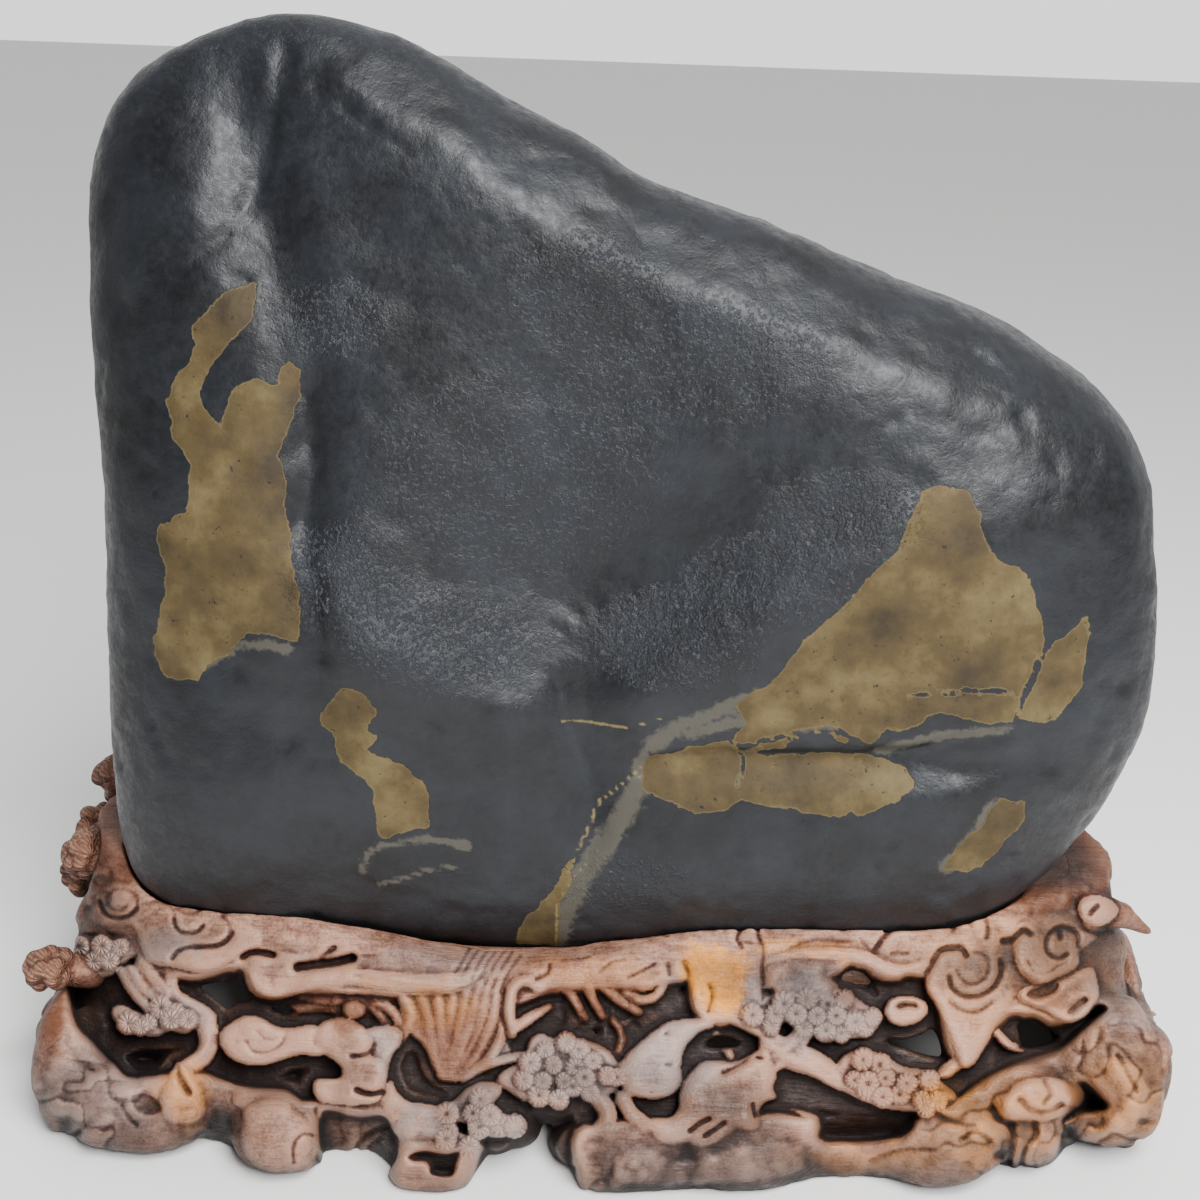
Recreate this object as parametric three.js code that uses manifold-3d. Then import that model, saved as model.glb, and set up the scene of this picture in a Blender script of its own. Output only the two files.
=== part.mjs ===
// A dark scholar's rock standing in the seat of a carved openwork root-wood stand.
// Millimetres, +Z up, front towards -Y. The origin is on the floor under the middle of the stand.
import * as THREE from 'three';
import { mergeVertices } from 'three/addons/utils/BufferGeometryUtils.js';
import Module from 'manifold-3d';

const wasm = await Module();
wasm.setup();

// Driving dimensions
const seatGap = 0.5; // between the stone and the seat that is cut for it
const stone = {
  middle: [0, 215], // x and z of the face's middle
  frontReach: 60, // from the plane of the outline to the face
  backReach: 54,
  leanFrom: 230, // above this height the face leans back
  leanTo: 395,
  leanKeep: 0.62, // share of the reach left at the top
  bluntFoot: 5, // how square the rounded edge is at the foot and at the crown
  bluntCrown: 2.3,
  columns: 46,
  frontRows: 12,
  backRows: 6,
};
// Outline of the stone seen from the front, x and z, from the right side round over the crown
const stoneOutline = [
  [196, 163], [196, 195], [192, 225], [185, 255], [167, 277], [131, 299], [95, 312], [52, 329],
  [8, 342], [-12, 354], [-45, 369], [-78, 386], [-112, 393], [-142, 386], [-168, 370], [-181, 347],
  [-185, 300], [-182, 230], [-183, 150], [-182, 96], [-172, 76], [-138, 66], [-80, 60], [-20, 59],
  [50, 63], [104, 67], [138, 74], [156, 88], [174, 111], [188, 136],
];
// Swells and hollows of the face: x, z, half width, half height, turn in degrees, height outwards
const faceRelief = [
  [-6, 244, 92, 64, -24, -14], // wide bowl in the middle
  [-12, 214, 46, 34, -8, -5],
  [-60, 352, 58, 19, -36, 5], // shoulder that runs down from the crown to the right
  [8, 318, 62, 19, -26, 5],
  [92, 289, 62, 20, -18, 4],
  [-76, 186, 52, 24, -30, 8], // lower lip of the bowl, left and right
  [58, 204, 74, 22, 30, 8],
  [-10, 152, 13, 36, 6, -6], // groove that drains the bowl
  [-124, 346, 13, 46, 14, -9], // groove beside the left lobe
  [-152, 338, 30, 50, 0, 4],
  [-105, 232, 10, 52, 0, -5],
  [-128, 128, 54, 42, 0, 5], // swells above the foot
  [18, 104, 58, 26, 0, 4],
  [118, 128, 54, 34, 8, 5],
  [84, 153, 58, 7, 3, -5], // cleft under the right patch
];
const backRelief = [
  [60, 230, 80, 60, 20, -9],
  [-70, 180, 70, 50, -15, 6],
  [-90, 320, 60, 40, -35, -7],
  [110, 150, 40, 60, 10, 5],
  [-20, 300, 26, 70, 24, 5],
];

// The stand's outer surface is a rounded oval that grows from the rim down to the plinth
const apron = {
  rimLevel: 80,
  plinthLevel: 26,
  rimHalf: [200, 59], // half width and half depth
  plinthHalf: [213, 95],
  squareness: 3,
};
// Height of the rim along the stone's foot: x, z
const rimLine = [
  [-205, 97], [-150, 91], [-95, 79], [-45, 71], [-10, 73], [30, 82], [60, 88], [110, 89],
  [160, 92], [205, 93],
];
const seatFloor = 49;
const seatSides = 34;
const bowlSide = [ // the seat's section: how far inside the apron, and height or drop from the rim
  { inside: 28, level: 0, from: 'floor' },
  { inside: 9, level: 9, from: 'floor' },
  { inside: -2, level: 16, from: 'floor' },
  { inside: 0, level: -5, from: 'rim' },
  { inside: 5, level: 0, from: 'rim' },
];
const plinth = {
  half: [210, 93],
  squareness: 3.6,
  wall: 25,
  height: 22,
  wave: 3.2, // how far its edge wanders in and out
  swell: 4, // how far its top rises and falls
  sides: 36,
  below: 5, // it is made this far below the floor, and cut off there
  gapCut: { depth: 70, inset: 10 }, // size of a gap's cut through the ring, and where it is centred
};
// Gaps in the plinth: middle x, half width, top, side (-1 front, 1 back)
const plinthGaps = [
  { x: -20, halfWidth: 17, top: 34, side: -1 },
  { x: 34, halfWidth: 15, top: 34, side: 1 },
  { x: -85, halfWidth: 11, top: 9, side: -1 },
];

// Rocks round the plinth: x, y, z and the three half sizes
const rocks = [
  [-194, -54, 20, 20, 28, 28], [-202, -4, 21, 13, 32, 30], [-166, -77, 14, 26, 17, 20],
  [-150, -75, 24, 15, 15, 20], [-113, -84, 13, 19, 17, 18], [-58, -88, 9, 17, 14, 14],
  [16, -84, 15, 20, 17, 20], [48, -82, 12, 26, 17, 19], [124, -78, 17, 24, 20, 22],
  [152, -75, 24, 20, 13, 20], [190, -55, 30, 26, 25, 30], [208, -6, 28, 13, 34, 32],
  [-190, 56, 24, 20, 26, 28], [-130, 78, 14, 34, 17, 20], [-64, 83, 13, 34, 15, 18],
  [88, 82, 15, 34, 15, 19], [188, 56, 24, 22, 28, 29],
];

const rockRough = { size: 1.04, depth: 0.1, waves: [3.1, 3.7, 5] }; // how uneven a rock is

// Root masses under the rim: x, z, how far proud of the apron, half width, half depth, half height
const rootMasses = [
  [-88, 56, -15, 28, 12, 12], [-2, 59, -9, 26, 13, 13], [42, 66, -7, 18, 14, 13],
  [86, 60, -20, 34, 10, 14],
];
// Limbs of the carving: x, z, how far proud of the apron, radius
const frontLimbs = [
  [[-190, 59, -3, 5], [-165, 52, 1, 5], [-139, 43, 0, 6], [-142, 20, -8, 8]],
  [[-190, 70, -6, 6], [-199, 50, -6, 8], [-200, 32, -8, 9]],
  [[-122, 66, 0, 3.5], [-112, 61, 2, 5], [-92, 64, 2, 4], [-68, 66, 2, 4], [-45, 67, 1, 3]],
  [[-57, 66, -14, 22], [-56, 50, -12, 15], [-55, 36, -8, 9], [-57, 22, -6, 10]],
  [[-26, 72, -2, 3], [-34, 61, 0, 4], [-33, 51, 0, 4], [-22, 56, -2, 4], [-12, 61, -6, 4]],
  [[-74, 26, 0, 6], [-55, 27, 2, 6], [-37, 33, 2, 6], [-18, 40, 1, 6], [8, 42, 0, 7]],
  [[44, 62, -2, 8], [28, 54, 1, 9], [13, 46, 1, 9], [8, 37, 0, 9], [13, 24, -2, 11]],
  [[53, 60, -3, 7], [58, 46, 0, 7], [52, 34, 0, 9], [44, 22, -4, 12]],
  [[10, 33, -1, 7], [30, 37, 0, 7], [54, 40, 0, 7]],
  [[46, 57, 1, 5], [70, 58, 2, 6], [98, 56, 1, 5]],
  [[57, 46, 0, 6], [80, 44, 1, 6], [102, 42, 2, 6], [123, 36, 1, 6], [136, 28, -2, 7]],
  [[130, 52, -3, 8], [131, 40, -2, 7], [132, 26, -6, 9]],
  [[172, 66, -4, 8], [185, 54, -3, 9], [190, 38, -6, 11]],
  [[184, 78, -2, 6], [194, 74, -1, 5], [201, 69, 0, 2]],
];
const backLimbs = [
  [[-150, 62, -4, 7], [-132, 50, 0, 7], [-112, 42, 1, 7], [-100, 26, -2, 9]],
  [[-60, 64, -4, 8], [-66, 46, 0, 8], [-86, 36, 0, 7], [-104, 28, -2, 8]],
  [[20, 66, -4, 8], [10, 48, 0, 7], [14, 34, 0, 8], [4, 20, -3, 10]],
  [[14, 44, 0, 6], [40, 50, 1, 6], [62, 46, 1, 6], [84, 50, 0, 6], [100, 62, -3, 7]],
];
// The back is closed by a thin carved wall: where its faces lie from the apron, and its windows
// as x, z, half width and half height
const backWall = {
  halfWidth: 200,
  middle: 42,
  halfHeight: 25,
  inner: -15,
  outer: -3,
  columns: 20,
  windows: [[-158, 42, 13, 9], [-36, 40, 14, 9], [40, 34, 16, 7], [112, 44, 13, 9]],
};
// Ridges of the root fan run from the rim to one knot: x and z of their upper ends
const fanTops = [[-84, 59], [-73, 63], [-62, 66], [-51, 67], [-40, 66]];
const fanKnot = [-55, 34];
const fanRidge = { top: [1, 3], bend: [3, 3], knot: [-1, 2.5], bendLevel: 52 }; // proud, radius
const limbSides = { root: 5, ridge: 4, stem: 6, bore: 7, spiral: 3 };

// Cloud scrolls, as outlines in x and z, with the middles and sizes of their spirals
const frontClouds = [
  {
    outline: [
      [-196, 71], [-191, 80], [-180, 84], [-169, 80], [-157, 80], [-146, 84], [-133, 83], [-121, 76],
      [-120, 68], [-131, 62], [-146, 60], [-158, 63], [-170, 68], [-182, 64], [-191, 64],
    ],
    proud: 3,
    deep: 9,
    spirals: [[-182, 75, 7], [-153, 74, 7]],
  },
  {
    outline: [
      [-139, 44], [-134, 50], [-126, 52], [-117, 48], [-108, 48], [-99, 52], [-89, 53], [-81, 49],
      [-82, 42], [-76, 37], [-74, 30], [-82, 25], [-96, 26], [-101, 32], [-98, 38], [-104, 42],
      [-114, 39], [-128, 38],
    ],
    proud: 3,
    deep: 12,
    spirals: [[-125, 46, 5], [-91, 48, 5]],
  },
  {
    outline: [
      [102, 66], [105, 77], [113, 87], [127, 90], [141, 93], [151, 88], [152, 76], [146, 63],
      [140, 52], [133, 42], [127, 46], [121, 56], [110, 60],
    ],
    proud: 3,
    deep: 11,
    spirals: [[134, 70, 9]],
  },
  {
    outline: [
      [151, 86], [160, 89], [171, 86], [181, 87], [191, 80], [189, 70], [180, 62], [167, 58],
      [157, 62], [152, 72],
    ],
    proud: 2,
    deep: 11,
    spirals: [[167, 77, 6], [183, 80, 4]],
  },
];
const spiralLine = { turns: 1.25, step: 0.25, shrink: 0.55, raised: 0.3, radius: 2 };
const backClouds = [
  {
    outline: [
      [-178, 80], [-166, 85], [-152, 82], [-140, 84], [-128, 78], [-130, 68], [-144, 60], [-158, 64],
      [-172, 66],
    ],
    proud: 2,
    deep: 10,
    spirals: [],
  },
  {
    outline: [
      [112, 76], [124, 84], [138, 82], [150, 86], [162, 82], [166, 72], [154, 62], [140, 56],
      [126, 60], [114, 66],
    ],
    proud: 2,
    deep: 10,
    spirals: [],
  },
];
// Pine sprays, as long low pads: x, z, proud, half length, half height, tilt in degrees
const frontPads = [
  [-198, 54, -1, 14, 8, 30], [-182, 60, 2, 11, 8, 0], [-158, 44, 2, 20, 8, -6],
  [-50, 24, 3, 19, 9, 18], [-12, 40, 4, 24, 10, 8], [62, 57, 3, 20, 8, 24], [86, 58, 4, 18, 9, -10],
  [92, 43, 3, 16, 8, -8], [116, 37, 4, 17, 8, -14],
];
const backPads = [[-126, 47, 3, 20, 9, -20], [-76, 39, 3, 16, 9, 10], [44, 50, 3, 24, 10, 0]];
const padDepth = 6; // half their thickness
// Two sprays climb above the rim behind the stone: x, y, z and half sizes
const rearPads = [
  [-200, 20, 77, 8, 14, 9], [-194, 34, 92, 9, 13, 10], [-187, 45, 105, 10, 9, 8],
  [178, 42, 96, 13, 10, 9], [191, 33, 97, 9, 9, 7],
];
const rearStems = [
  [[-190, 22, 62, 7], [-190, 36, 84, 6], [-186, 44, 102, 4]],
  [[172, 44, 72, 8], [178, 42, 92, 6], [186, 36, 100, 4]],
  [[-186, -26, 84, 7], [-188, -24, 96, 5], [-184, -22, 106, 2.5]],
];
// Windows cut in the front of the rim band: x, z, half width and half height
const windows = [[91, 68, 9, 5], [44, 51, 7, 5]];
const windowCut = { middle: -6, halfDepth: 24 }; // from the apron, and how far each way it cuts
// A worm hole in the right rock: two ends x, y, z and its radius
const wormHole = { from: [181, -92, 27], to: [172, -30, 30], radius: 7 };
const floorBlock = [600, 400, 60]; // cuts off all that reaches below the floor
// Moves the whole, so that its outer box is centred on the origin
const settle = [-2.5, 0.85];

const lerp = THREE.MathUtils.lerp;
const smooth = (low, high, value) => THREE.MathUtils.smoothstep(value, low, high);
const plain = (points) => points.map(([x, z]) => new THREE.Vector3(x, 0, z));
const loop = (points) => new THREE.CatmullRomCurve3(plain(points), true, 'centripetal');

// Solid from a closed geometry, with the vertices that its faces share joined
function solid(geometry) {
  geometry.deleteAttribute('normal');
  geometry.deleteAttribute('uv');
  const joined = mergeVertices(geometry, 1e-3);
  return new wasm.Manifold(new wasm.Mesh({
    numProp: 3,
    vertProperties: new Float32Array(joined.attributes.position.array),
    triVerts: new Uint32Array(joined.index.array),
  }));
}

function geometryOf(manifold) {
  const { vertProperties, triVerts, numProp } = manifold.getMesh();
  const geometry = new THREE.BufferGeometry();
  const positions = new Float32Array((vertProperties.length / numProp) * 3);
  for (let i = 0; i < positions.length / 3; i++) {
    positions.set(vertProperties.subarray(i * numProp, i * numProp + 3), i * 3);
  }
  geometry.setAttribute('position', new THREE.BufferAttribute(positions, 3));
  geometry.setIndex(Array.from(triVerts));
  geometry.computeVertexNormals();
  return geometry;
}

// Keeps the outer skin of a mesh, and so fills any hollow that is sealed inside it
function outerSkin(geometry) {
  const joined = mergeVertices(geometry, 1e-6);
  const index = joined.index.array;
  const root = Array.from({ length: joined.attributes.position.count }, (_, i) => i);
  const find = (i) => {
    while (root[i] !== i) i = root[i] = root[root[i]];
    return i;
  };
  for (let i = 0; i < index.length; i += 3) {
    root[find(index[i])] = find(index[i + 1]);
    root[find(index[i + 1])] = find(index[i + 2]);
  }
  const count = new Map();
  for (const i of index) count.set(find(i), (count.get(find(i)) ?? 0) + 1);
  const largest = [...count].sort((a, b) => b[1] - a[1])[0][0];
  joined.setIndex(Array.from(index).filter((i) => find(i) === largest));
  return mergeVertices(joined.toNonIndexed(), 1e-6);
}

// Moves every vertex of a geometry by a function of its place
function shaped(geometry, move) {
  const position = geometry.attributes.position;
  const point = new THREE.Vector3();
  for (let i = 0; i < position.count; i++) {
    point.fromBufferAttribute(position, i);
    position.setXYZ(i, ...move(point).toArray());
  }
  return geometry;
}

function relief(list, x, z) {
  let out = 0;
  for (const [cx, cz, halfWidth, halfHeight, turn, height] of list) {
    const a = THREE.MathUtils.degToRad(turn);
    const u = ((x - cx) * Math.cos(a) + (z - cz) * Math.sin(a)) / halfWidth;
    const v = ((z - cz) * Math.cos(a) - (x - cx) * Math.sin(a)) / halfHeight;
    out += height * Math.exp(-(u * u + v * v));
  }
  return out;
}

// The stone: a ball whose equator is the outline, with a blunt foot and a sharper crown
function stoneGeometry(grow) {
  const { columns, frontRows, backRows, middle } = stone;
  const edge = loop(stoneOutline).getSpacedPoints(columns);
  const low = Math.min(...stoneOutline.map((p) => p[1]));
  const high = Math.max(...stoneOutline.map((p) => p[1]));
  const rows = frontRows + backRows;
  const ball = new THREE.SphereGeometry(1, columns, rows);
  const position = ball.attributes.position;
  for (let i = 0; i < position.count; i++) {
    const row = Math.floor(i / (columns + 1));
    const column = i % (columns + 1);
    const front = row <= frontRows;
    const step = front ? row / frontRows : (rows - row) / backRows;
    const share = Math.min(1, Math.sin(step * Math.PI / 2) ** 0.85);
    const rim = edge[column];
    const reach = Math.hypot(rim.x - middle[0], rim.z - middle[1]);
    const spread = share * (reach + grow) / reach;
    const x = middle[0] + (rim.x - middle[0]) * spread;
    const z = middle[1] + (rim.z - middle[1]) * spread;
    const blunt = lerp(stone.bluntFoot, stone.bluntCrown, smooth(low, high, rim.z));
    const bulge = Math.max(0, 1 - share ** blunt) ** (1 / blunt);
    const lean = lerp(1, stone.leanKeep, smooth(stone.leanFrom, stone.leanTo, z));
    const list = front ? faceRelief : backRelief;
    const out = relief(list, x, z) * (1 - share ** 6);
    const y = ((front ? stone.frontReach : stone.backReach) * lean + grow) * bulge + out;
    position.setXYZ(i, x, front ? -y : y, z);
  }
  return ball;
}

// Half depth of a rounded oval at x
function ovalDepth(half, squareness, x) {
  const left = 1 - Math.min(1, Math.abs(x / half[0])) ** squareness;
  return half[1] * left ** (1 / squareness);
}

function apronHalf(z) {
  const share = THREE.MathUtils.clamp((apron.rimLevel - z) / (apron.rimLevel - apron.plinthLevel), -0.2, 1);
  return [0, 1].map((i) => lerp(apron.rimHalf[i], apron.plinthHalf[i], share));
}

// A point on the apron: side is -1 for the front, and 1 for the back, which is turned half round
function onApron(x, z, proud, side) {
  const depth = ovalDepth(apronHalf(z), apron.squareness, x) + proud;
  return new THREE.Vector3(-side * x, side * depth, z);
}

function rimHeight(x) {
  const next = rimLine.findIndex(([end]) => end >= x);
  if (next < 0) return rimLine.at(-1)[1];
  if (next === 0) return rimLine[0][1];
  const [a, b] = [rimLine[next - 1], rimLine[next]];
  return lerp(a[1], b[1], smooth(a[0], b[0], x));
}

// A point of a ring around the stand, on an oval that is drawn in by inside
function onOval(half, squareness, turn, inside) {
  const [c, s] = [Math.cos(turn), Math.sin(turn)];
  const power = (value) => Math.sign(value) * Math.abs(value) ** (2 / squareness);
  return [power(c) * (half[0] - inside), power(s) * (half[1] - inside)];
}

// The seat: a thick oval dish whose rim follows the stone's foot
function seat() {
  const profile = [new THREE.Vector2(0, 0)];
  bowlSide.forEach((_, i) => profile.push(new THREE.Vector2(1, i)));
  profile.push(new THREE.Vector2(0, bowlSide.length - 1));
  const dish = new THREE.LatheGeometry(profile, seatSides);
  return solid(shaped(dish, (p) => {
    const { inside, level, from } = bowlSide[Math.round(p.y)];
    const turn = Math.atan2(p.x, p.z);
    const spread = Math.min(1, Math.hypot(p.x, p.z));
    const half = apronHalf(from === 'rim' ? apron.rimLevel : seatFloor + level + 8);
    const [x, y] = onOval(half, apron.squareness, turn, inside);
    const height = from === 'rim' ? rimHeight(x * spread) + level : seatFloor + level;
    return new THREE.Vector3(x * spread, y * spread, height);
  }));
}

// The plinth: a low ring with a wandering edge, open at the gaps
function plinthRing() {
  const profile = [[1, 0], [1, 1], [0, 1], [0, 0], [1, 0]].map(([x, y]) => new THREE.Vector2(2 + x, y));
  const ring = new THREE.LatheGeometry(profile, plinth.sides);
  let body = solid(shaped(ring, (p) => {
    const turn = Math.atan2(p.x, p.z);
    const outer = Math.hypot(p.x, p.z) > 2.5;
    const wander = plinth.wave * (Math.sin(7 * turn + 1) + 0.6 * Math.sin(17 * turn));
    const [x, y] = onOval(plinth.half, plinth.squareness, turn, outer ? wander : plinth.wall);
    const top = plinth.height + plinth.swell * Math.sin(9 * turn + 2);
    return new THREE.Vector3(x, y, p.y > 0.5 ? top : -plinth.below);
  }));
  const { depth, inset } = plinth.gapCut;
  const under = 2 * plinth.below;
  for (const gap of plinthGaps) {
    const box = new THREE.BoxGeometry(gap.halfWidth * 2, depth, gap.top + under);
    box.translate(gap.x, gap.side * (plinth.half[1] - inset), (gap.top - under) / 2);
    body = body.subtract(solid(box));
  }
  return body;
}

// A limb: a closed cylinder bent along a curve, with its own radius at each point
function limb(points, radii, sides) {
  const curve = new THREE.CatmullRomCurve3(points, false, 'centripetal');
  const steps = points.length > 3 ? points.length : points.length + 1;
  const frames = curve.computeFrenetFrames(steps, false);
  const tube = new THREE.CylinderGeometry(1, 1, 1, sides, steps);
  return solid(shaped(tube, (p) => {
    const step = Math.round((p.y + 0.5) * steps);
    const along = (step / steps) * (radii.length - 1);
    const before = Math.min(Math.floor(along), radii.length - 2);
    const radius = lerp(radii[before], radii[before + 1], along - before);
    return curve.getPoint(step / steps)
      .addScaledVector(frames.binormals[step], p.x * radius)
      .addScaledVector(frames.normals[step], p.z * radius);
  }));
}

const apronLimb = (side, sides) => (list) =>
  limb(list.map(([x, z, proud]) => onApron(x, z, proud, side)), list.map((p) => p[3]), sides);

// A cloud: its outline cut from a plate that is bent round the apron, with raised spirals on it
function cloud({ outline, proud, deep, spirals }, side) {
  const points = loop(outline).getSpacedPoints(outline.length).slice(0, -1);
  const shape = new THREE.Shape(points.map((p) => new THREE.Vector2(p.x, p.z)));
  const plate = new THREE.ExtrudeGeometry(shape, { depth: deep + proud, bevelEnabled: false });
  let body = solid(shaped(plate, (p) => onApron(p.x, p.y, p.z - deep, side)));
  for (const [x, z, size] of spirals) {
    const path = [];
    for (let turn = 0; turn <= spiralLine.turns; turn += spiralLine.step) {
      const reach = size * (1 - spiralLine.shrink * turn);
      const angle = turn * 2 * Math.PI;
      const [across, up] = [reach * Math.cos(angle), -reach * Math.sin(angle)];
      path.push([x + across, z + up, proud + spiralLine.raised, spiralLine.radius]);
    }
    body = body.add(apronLimb(side, limbSides.spiral)(path));
  }
  return body;
}

// A ball squashed on the apron: u runs along it, v up it and w out of it, each from -1 to 1
function onApronBall([x, z, proud], [halfU, halfV, halfW], tilt, side) {
  const a = THREE.MathUtils.degToRad(tilt);
  return solid(shaped(new THREE.SphereGeometry(1, 7, 4), (p) => {
    const [u, v, w] = [p.x * halfU, p.y * halfV, p.z * halfW];
    return onApron(x + u * Math.cos(a) - v * Math.sin(a), z + u * Math.sin(a) + v * Math.cos(a),
      proud + w, side);
  }));
}

function pad([x, z, proud, halfLength, halfHeight, tilt], side) {
  return onApronBall([x, z, proud], [halfLength, halfHeight, padDepth], tilt, side);
}

function mass([x, z, proud, halfWidth, halfDepth, halfHeight]) {
  return onApronBall([x, z, proud], [halfWidth, halfHeight, halfDepth], 0, -1);
}

function window([x, z, halfWidth, halfHeight], side) {
  return onApronBall([x, z, windowCut.middle], [halfWidth, halfHeight, windowCut.halfDepth], 0, side);
}

// The thin wall that closes the back, with its windows cut out
function wall({ halfWidth, middle, halfHeight, inner, outer, columns, windows: holes }) {
  const slab = new THREE.BoxGeometry(2, 2, 1, columns, 2, 1);
  let body = solid(shaped(slab, (p) =>
    onApron(p.x * halfWidth, middle + p.y * halfHeight, p.z > 0 ? outer : inner, 1)));
  for (const hole of holes) body = body.subtract(window(hole, 1));
  return body;
}

// A rock: a ball with its faces pushed in and out
function rock([x, y, z, halfX, halfY, halfZ]) {
  const lump = new THREE.SphereGeometry(1, 6, 4);
  const { size, depth, waves } = rockRough;
  return solid(shaped(lump, (p) => {
    const rough = size
      + depth * Math.sin(waves[0] * p.x + x) * Math.sin(waves[1] * p.y + y + waves[2] * p.z);
    return p.multiply(new THREE.Vector3(halfX, halfY, halfZ)).multiplyScalar(rough)
      .add(new THREE.Vector3(x, y, z));
  }));
}

function stand(stoneInSeat) {
  const pieces = [
    plinthRing(),
    ...rocks.map(rock),
    ...frontLimbs.map(apronLimb(-1, limbSides.root)),
    ...backLimbs.map(apronLimb(1, limbSides.root)),
    ...fanTops.map(([x, z]) => apronLimb(-1, limbSides.ridge)([
      [x, z, ...fanRidge.top],
      [lerp(x, fanKnot[0], 0.5), fanRidge.bendLevel, ...fanRidge.bend],
      [...fanKnot, ...fanRidge.knot],
    ])),
    ...frontClouds.map((c) => cloud(c, -1)),
    ...backClouds.map((c) => cloud(c, 1)),
    ...frontPads.map((p) => pad(p, -1)),
    ...backPads.map((p) => pad(p, 1)),
    ...rearPads.map(rock),
    ...rootMasses.map(mass),
    wall(backWall),
    ...rearStems.map((list) =>
      limb(list.map((p) => new THREE.Vector3(...p.slice(0, 3))), list.map((p) => p[3]), limbSides.stem)),
  ];
  let body = seat();
  for (const piece of pieces) body = body.add(piece);
  for (const hole of windows) body = body.subtract(window(hole, -1));
  const ends = [wormHole.from, wormHole.to].map((p) => new THREE.Vector3(...p));
  const bore = [ends[0], ends[0].clone().lerp(ends[1], 0.5), ends[1]];
  body = body.subtract(limb(bore, bore.map(() => wormHole.radius), limbSides.bore));
  const floor = new THREE.BoxGeometry(...floorBlock).translate(0, 0, -floorBlock[2] / 2);
  return body.subtract(solid(floor)).subtract(stoneInSeat);
}

const group = new THREE.Group();
group.position.set(...settle, 0);

function place(name, geometry, material) {
  const mesh = new THREE.Mesh(geometry, new THREE.MeshStandardMaterial(material));
  mesh.name = name;
  group.add(mesh);
}

place('stone', geometryOf(solid(stoneGeometry(0))), { color: 0x2b2e33, roughness: 0.45, metalness: 0 });
const woodStand = geometryOf(stand(solid(stoneGeometry(seatGap))));
place('stand', outerSkin(woodStand), { color: 0x8a6350, roughness: 0.55, metalness: 0 });

export default group;
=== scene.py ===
import math

import bpy
import numpy as np
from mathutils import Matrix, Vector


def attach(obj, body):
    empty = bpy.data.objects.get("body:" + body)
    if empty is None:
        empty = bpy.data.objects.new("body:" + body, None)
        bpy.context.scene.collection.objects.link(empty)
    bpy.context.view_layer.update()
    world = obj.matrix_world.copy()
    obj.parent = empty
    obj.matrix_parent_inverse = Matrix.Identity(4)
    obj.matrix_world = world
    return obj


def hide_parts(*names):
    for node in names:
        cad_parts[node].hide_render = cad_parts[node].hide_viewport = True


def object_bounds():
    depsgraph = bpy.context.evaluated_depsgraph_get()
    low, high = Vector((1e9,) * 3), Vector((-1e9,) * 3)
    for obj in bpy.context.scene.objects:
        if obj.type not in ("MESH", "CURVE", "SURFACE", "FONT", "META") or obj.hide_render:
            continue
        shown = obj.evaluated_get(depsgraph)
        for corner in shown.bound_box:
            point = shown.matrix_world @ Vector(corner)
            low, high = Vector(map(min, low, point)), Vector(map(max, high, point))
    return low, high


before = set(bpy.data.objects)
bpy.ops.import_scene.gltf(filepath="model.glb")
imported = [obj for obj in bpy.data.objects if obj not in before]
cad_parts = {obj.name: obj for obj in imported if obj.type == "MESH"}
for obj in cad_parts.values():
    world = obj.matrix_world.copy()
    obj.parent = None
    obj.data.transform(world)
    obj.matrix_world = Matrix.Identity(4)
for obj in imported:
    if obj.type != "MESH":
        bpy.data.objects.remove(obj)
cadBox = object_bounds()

import openvdb
from mathutils import Matrix, Vector

# A dark water-worn display stone on its carved root-wood stand. Shapes are worked out in
# millimetres and every mesh goes to Blender in metres.
mm = 0.001
settle = np.array([-2.5, 0.85, 0.0])  # moves the shapes to where the frame's solids stand
photoSize = 1200  # the photo is this many pixels wide and high
photoScale = 3.1  # photo pixels for a millimetre of the stand's front

# Where the photo was taken from, in the shapes' millimetres
photoView = {
    "place": (-5.4, -610.0, 420.0),
    "pitch": 20.7,  # degrees down
    "roll": 2.05,
    "focal": 1754.0,  # in photo pixels
    "sensor": 36,
    "clip": 0.01,  # metres
}


def viewAxes():
    pitch, roll = math.radians(photoView["pitch"]), math.radians(photoView["roll"])
    ahead = Vector((0, math.cos(pitch), -math.sin(pitch)))
    level = Vector((1, 0, 0))
    above = level.cross(ahead)
    right = math.cos(roll) * level + math.sin(roll) * above
    up = math.cos(roll) * above - math.sin(roll) * level
    return right, up, ahead


def makeCamera():
    right, up, ahead = viewAxes()
    camera = bpy.data.cameras.new("photoCamera")
    camera.sensor_width = photoView["sensor"]
    camera.lens = photoView["focal"] / photoSize * photoView["sensor"]
    camera.clip_start = photoView["clip"]
    holder = bpy.data.objects.new("photoCamera", camera)
    bpy.context.scene.collection.objects.link(holder)
    matrix = Matrix((right, up, -ahead)).transposed().to_4x4()
    matrix.translation = Vector((np.array(photoView["place"]) + settle) * mm)
    holder.matrix_world = matrix
    bpy.context.scene.camera = holder


def photoPixels(x, y, z):
    # where places of the shapes are seen in the photo, in pixels from its top left corner
    away = [value - start for value, start in zip((x, y, z), photoView["place"])]
    right, up, ahead = (sum(share * value for share, value in zip(axis, away)) for axis in viewAxes())
    return (photoSize / 2 + photoView["focal"] * right / ahead,
            photoSize / 2 - photoView["focal"] * up / ahead)


def onFloor(pixels):
    # the floor's x and y under photo pixels
    right, up, ahead = (np.array(axis) for axis in viewAxes())
    across, down = (np.array(pixels, float).T - photoSize / 2) / photoView["focal"]
    rays = ahead + np.outer(across, right) - np.outer(down, up)
    place = np.array(photoView["place"])
    return (place + rays * (-place[2] / rays[:, 2:]))[:, :2]


makeCamera()
print("camera placed")


# Small sums used by every shape

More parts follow.
